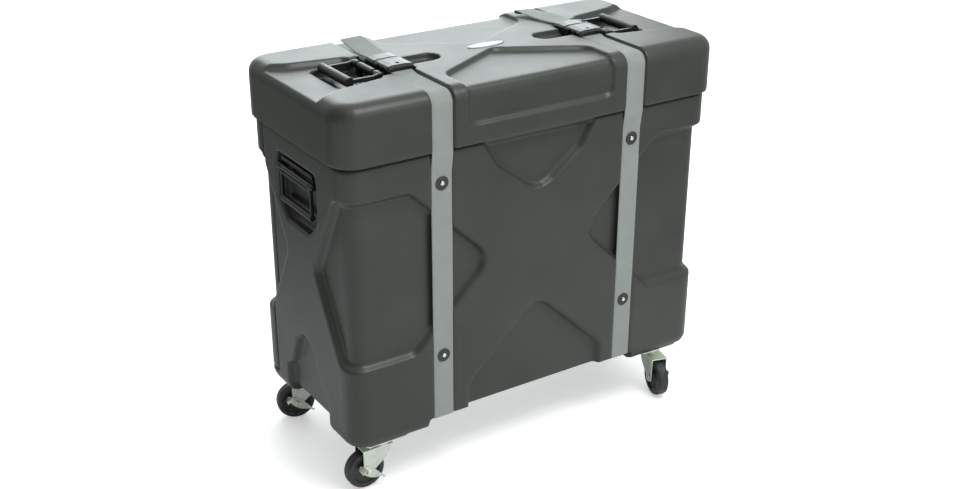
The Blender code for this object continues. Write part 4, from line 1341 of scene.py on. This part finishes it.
def buildStrap(side):
    middle = strap["middle"] * (-1 if side == "left" else 1)
    line = evenly(strapPath(side), strap["step"])
    half = strap["width"] / 2
    thin = strap["thick"] / 2
    strips = 10
    shape = bmesh.new()
    layer = shape.loops.layers.uv.new("alongStrip")
    rings = []
    travelled = 0.0
    places = []
    tipY = strap["tailEnd"][side][0]
    for index, here in enumerate(line):
        back = line[max(index - 1, 0)]
        ahead = line[min(index + 1, len(line) - 1)]
        along = (ahead - back).normalized()
        out = Vector((along.y, -along.x))
        if index:
            travelled += (here - line[index - 1]).length
        inTail = here.y > 0.7925 and here.x < tipY + 0.01
        loose = max(0.0, here.x - strap["tailStart"]) if inTail else 0.0
        shift = -loose * strap["splay"]
        curl = 0.0016 * math.sin(loose * 38)
        ring = []
        spots = []
        profile = [(-1 + 2 * c / strips, 1.0) for c in range(strips + 1)]
        profile += [(1 - 2 * c / strips, -1.0) for c in range(strips + 1)]
        for u, v in profile:
            pinch = 0.55 if abs(u) > 0.999 else 1.0
            lift = out * (thin * v * pinch)
            edge = half * u - (0.0 if abs(u) < 0.999 else math.copysign(0.0002, u))
            tilt = out * (curl * u)
            point = (middle + shift + edge, here.x + lift.x + tilt.x, here.y + lift.y + tilt.y)
            ring.append(shape.verts.new(point))
            spots.append((half * u, travelled))
        rings.append(ring)
        places.append(spots)
    count = len(rings[0])
    for row in range(len(rings) - 1):
        for i in range(count):
            j = (i + 1) % count
            order = ((row, i), (row, j), (row + 1, j), (row + 1, i))
            face = shape.faces.new([rings[r][c] for r, c in order])
            for loop, spot in zip(face.loops, [places[r][c] for r, c in order]):
                loop[layer].uv = spot
    for ring, row in ((rings[0], 0), (rings[-1][::-1], -1)):
        face = shape.faces.new(ring)
        for loop in face.loops:
            loop[layer].uv = (0.0, places[row][0][1])
    bmesh.ops.recalc_face_normals(shape, faces=shape.faces)
    mesh = bpy.data.meshes.new("strap" + side.title())
    shape.to_mesh(mesh)
    shape.free()
    piece = bpy.data.objects.new("strap" + side.title(), mesh)
    bpy.context.scene.collection.objects.link(piece)
    shadeSmooth(piece, 50)
    setMaterial(piece, materials["weave"])
    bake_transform(piece)
    stem = "strap_" + side + "_"
    parts = ("lower", "front_slack", "back_slack", "top_front", "top_back")
    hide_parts(*[stem + part for part in parts])
    print(piece.name, len(line), "rings", round(travelled + strap["step"], 3), "m long")


for side in ("left", "right"):
    buildStrap(side)
print("straps done")

rivet = {
    "face": 0.1903,
    "heights": {"upper": 0.615, "lower": 0.262},
    "washer": 0.0137,
    "head": 0.0043,
}


def latheAlong(name, profile, steps=48):
    # a body turned round Z from (radius, height) points, made with a Screw modifier
    mesh = bpy.data.meshes.new(name)
    corners = [(radius, 0, height) for radius, height in profile]
    mesh.from_pydata(corners, [(i, i + 1) for i in range(len(profile) - 1)], [])
    piece = bpy.data.objects.new(name, mesh)
    bpy.context.scene.collection.objects.link(piece)
    settings = {"axis": "Z", "steps": steps, "render_steps": steps}
    settings.update(use_merge_vertices=True, merge_threshold=0.00001)
    applyModifier(piece, "SCREW", **settings)
    makeActive(piece)
    bpy.ops.object.mode_set(mode="EDIT")
    bpy.ops.mesh.select_all(action="SELECT")
    bpy.ops.mesh.remove_doubles(threshold=0.000005)
    bpy.ops.mesh.normals_make_consistent(inside=False)
    bpy.ops.object.mode_set(mode="OBJECT")
    return piece


def roundedProfile(points, radius, steps=3):
    # the profile with its inner corners eased by short curves
    made = [points[0]]
    for before, here, after in zip(points, points[1:], points[2:]):
        here = Vector(here)
        back = Vector(before) - here
        ahead = Vector(after) - here
        reach = min(radius, back.length * 0.45, ahead.length * 0.45)
        start = here + back.normalized() * reach
        end = here + ahead.normalized() * reach
        for step in range(steps + 1):
            t = step / steps
            made.append(tuple(start * (1 - t) ** 2 + here * (2 * t * (1 - t)) + end * t ** 2))
    made.append(points[-1])
    return made


def buildRivet(side, which):
    middle = strap["middle"] * (-1 if side == "left" else 1)
    washer = [(0.0, 0.0), (rivet["washer"], 0.0), (rivet["washer"], 0.0008)]
    washer += [(0.0120, 0.0016), (0.0070, 0.0014), (0.0, 0.0014)]
    head = [(0.0, 0.0012), (rivet["head"], 0.0012), (rivet["head"], 0.0024)]
    head += [(0.0034, 0.0034), (0.0016, 0.0038), (0.0013, 0.0031), (0.0, 0.0030)]
    name = "rivet" + side.title() + which.title()
    lower = latheAlong(name, roundedProfile(washer, 0.0005))
    setMaterial(lower, materials["washer"])
    upper = latheAlong(name + "Head", roundedProfile(head, 0.0006))
    setMaterial(upper, materials["rivet"])
    deselect()
    upper.select_set(True)
    lower.select_set(True)
    bpy.context.view_layer.objects.active = lower
    bpy.ops.object.join()
    height = rivet["heights"][which]
    rows = ((1, 0, 0, middle), (0, 0, -1, -rivet["face"]), (0, 1, 0, height), (0, 0, 0, 1))
    lower.data.transform(Matrix(rows))
    shadeSmooth(lower, 40)
    takePlace(lower, "rivet_" + side + "_" + which, None)


for side in ("left", "right"):
    for which in ("upper", "lower"):
        buildRivet(side, which)
softPiece("lid_badge", "lidBadge", "badge", "badge")
print("rivets and badge done")

wheel = {
    "steps": 96,
    "profile": [
        (0.0044, 0.0142),
        (0.0118, 0.0142),
        (0.0130, 0.0128),
        (0.0150, 0.0086),
        (0.0262, 0.0084),
        (0.0282, 0.0118),
        (0.0345, 0.0122),
        (0.0382, 0.0104),
        (0.0396, 0.0078),
        (0.0396, 0.0060),
        (0.0400, 0.0056),
        (0.0400, 0.0049),
        (0.0396, 0.0045),
        (0.0396, 0.0000),
    ],
}


def buildCaster(word):
    joints = {joint["name"]: joint for joint in frame["record"]["behaviour"]["joints"]}
    roll = joints["caster_" + word + "_roll"]
    title = "".join(piece.title() for piece in word.split("_"))
    half = roundedProfile(wheel["profile"], 0.0007)
    profile = half + [(radius, -height) for radius, height in reversed(half)][1:]
    profile.append(profile[0])
    piece = latheAlong("wheel" + title, profile, wheel["steps"])
    axis = Vector(roll["axis"]).normalized()
    up = Vector((0, 0, 1))
    forward = axis.cross(up)
    turn = Matrix((forward, up, -axis)).transposed().to_4x4()
    turn.translation = Vector(roll["pos_m"])
    piece.data.transform(turn)
    makeActive(piece)
    bpy.ops.object.mode_set(mode="EDIT")
    bpy.ops.mesh.select_all(action="SELECT")
    bpy.ops.mesh.normals_make_consistent(inside=False)
    bpy.ops.object.mode_set(mode="OBJECT")
    shadeSmooth(piece, 35)
    takePlace(piece, "caster_" + word + "_wheel", "wheel")
    swivel = Vector(joints["caster_" + word + "_turn"]["pos_m"])
    swivel.z = 0
    reach = Vector(roll["pos_m"]) - swivel
    place = Matrix.Translation(swivel) @ Matrix.Rotation(math.atan2(reach.y, reach.x), 4, "Z")
    forms = {"fork": buildFork, "pedal": buildPedal, "axle": buildAxle}
    for kind in ("fork", "pedal", "plate", "axle"):
        made = placed(forms[kind](kind), place) if kind in forms else None
        softPiece("caster_" + word + "_" + kind, kind + title, kind, "zinc", made)


for word in ("front_left", "front_right", "back_left", "back_right"):
    buildCaster(word)
print("casters done")

view = {
    "place": (-1.3765, -2.0907, 1.5116),
    "tilt": 64.96,
    "turn": -32.84,
    "lens": 49.98,
    "shift": (0.0067, 0.0111),
}


def addCamera():
    deselect()
    turned = (math.radians(view["tilt"]), 0, math.radians(view["turn"]))
    bpy.ops.object.camera_add(location=view["place"], rotation=turned)
    camera = bpy.context.object
    camera.data.lens = view["lens"]
    camera.data.sensor_width = 36
    camera.data.shift_x, camera.data.shift_y = view["shift"]
    camera.data.clip_end = 60
    bpy.context.scene.camera = camera


studio = {
    "floorSize": 16,
    "floorColor": 0.95,
    # how pale the floor is to reflections behind the left end and in front of the right end
    "floorDim": (0.22, 0.55),
    "floorLift": 0.40,
    # the surroundings are darker at the sides: light from -X, from the middle, from +X
    "worldLight": (0.16, 1.16, 0.62),
    "worldColor": (0.97, 1.0, 0.99),
    "lamps": [
        # name, place, aimed at, size, power, color
        ("backRight", (1.15, 2.75, 1.80), (0.0, 0, 0.75), 2.5, 56, (0.90, 0.99, 1.0)),
        ("overhead", (0.30, -1.25, 2.6), (-0.3, 0, 0.6), 1.0, 28, (0.97, 1.0, 1.0)),
    ],
}


def addFloor():
    deselect()
    bpy.ops.mesh.primitive_plane_add(size=studio["floorSize"], location=(0, 0, 0))
    floor = bpy.context.object
    floor.name = "studioFloor"
    material, tree, shader = newMaterial("paleFloor")
    coords = tree.nodes.new("ShaderNodeTexCoord")
    parts = tree.nodes.new("ShaderNodeSeparateXYZ")
    link(tree, coords, "Object", parts, "Vector")
    path = tree.nodes.new("ShaderNodeLightPath")
    pale = studio["floorColor"]
    backLeft, frontRight = studio["floorDim"]
    behind = rangeNode(tree, parts, "Y", 0.0, 1.0, 0.15, 1.1)
    leftward = rangeNode(tree, parts, "X", 1.0, 0.0, -0.8, -0.25)
    rightward = rangeNode(tree, parts, "X", pale, frontRight, 0.5, 1.1)
    corner = mathNode(tree, "MULTIPLY", (behind, 0), (leftward, 0))
    shade = mathNode(tree, "MULTIPLY", (corner, 0), pale - backLeft)
    seen = mathNode(tree, "SUBTRACT", (rightward, 0), (shade, 0))
    tone = tree.nodes.new("ShaderNodeMix")
    link(tree, path, "Is Camera Ray", tone, 0)
    tree.links.new(seen.outputs[0], tone.inputs[2])
    tone.inputs[3].default_value = pale
    tree.links.new(tone.outputs[0], shader.inputs["Base Color"])
    shader.inputs["Roughness"].default_value = 0.8
    shader.inputs["Emission Color"].default_value = (1, 1, 1, 1)
    lift = mathNode(tree, "MULTIPLY", (path, "Is Camera Ray"), studio["floorLift"])
    tree.links.new(lift.outputs[0], shader.inputs["Emission Strength"])
    setMaterial(floor, material)


def addWorld():
    world = bpy.data.worlds.new("studioWorld")
    bpy.context.scene.world = world
    world.use_nodes = True
    tree = world.node_tree
    tree.nodes.clear()
    output = tree.nodes.new("ShaderNodeOutputWorld")
    light = tree.nodes.new("ShaderNodeBackground")
    white = tree.nodes.new("ShaderNodeBackground")
    mix = tree.nodes.new("ShaderNodeMixShader")
    path = tree.nodes.new("ShaderNodeLightPath")
    coords = tree.nodes.new("ShaderNodeTexCoord")
    parts = tree.nodes.new("ShaderNodeSeparateXYZ")
    link(tree, coords, "Generated", parts, "Vector")
    left, full, right = studio["worldLight"]
    rising = rangeNode(tree, parts, "X", left, full, -0.8, 0.15)
    falling = rangeNode(tree, parts, "X", 1.0, right / full, 0.35, 0.95)
    strength = mathNode(tree, "MULTIPLY", (rising, 0), (falling, 0))
    tree.links.new(strength.outputs[0], light.inputs["Strength"])
    light.inputs["Color"].default_value = (*studio["worldColor"], 1)
    white.inputs["Color"].default_value = (1, 1, 1, 1)
    tree.links.new(path.outputs["Is Camera Ray"], mix.inputs["Fac"])
    tree.links.new(light.outputs[0], mix.inputs[1])
    tree.links.new(white.outputs[0], mix.inputs[2])
    tree.links.new(mix.outputs[0], output.inputs["Surface"])


def addLamps():
    for name, place, aim, size, power, color in studio["lamps"]:
        deselect()
        bpy.ops.object.light_add(type="AREA", location=place)
        lamp = bpy.context.object
        lamp.name = name
        lamp.data.size = size
        lamp.data.energy = power
        lamp.data.color = color
        away = Vector(aim) - Vector(place)
        lamp.rotation_euler = away.to_track_quat("-Z", "Y").to_euler()


addCamera()
addFloor()
addWorld()
addLamps()
bpy.context.scene.view_settings.view_transform = "Standard"
print("studio done")
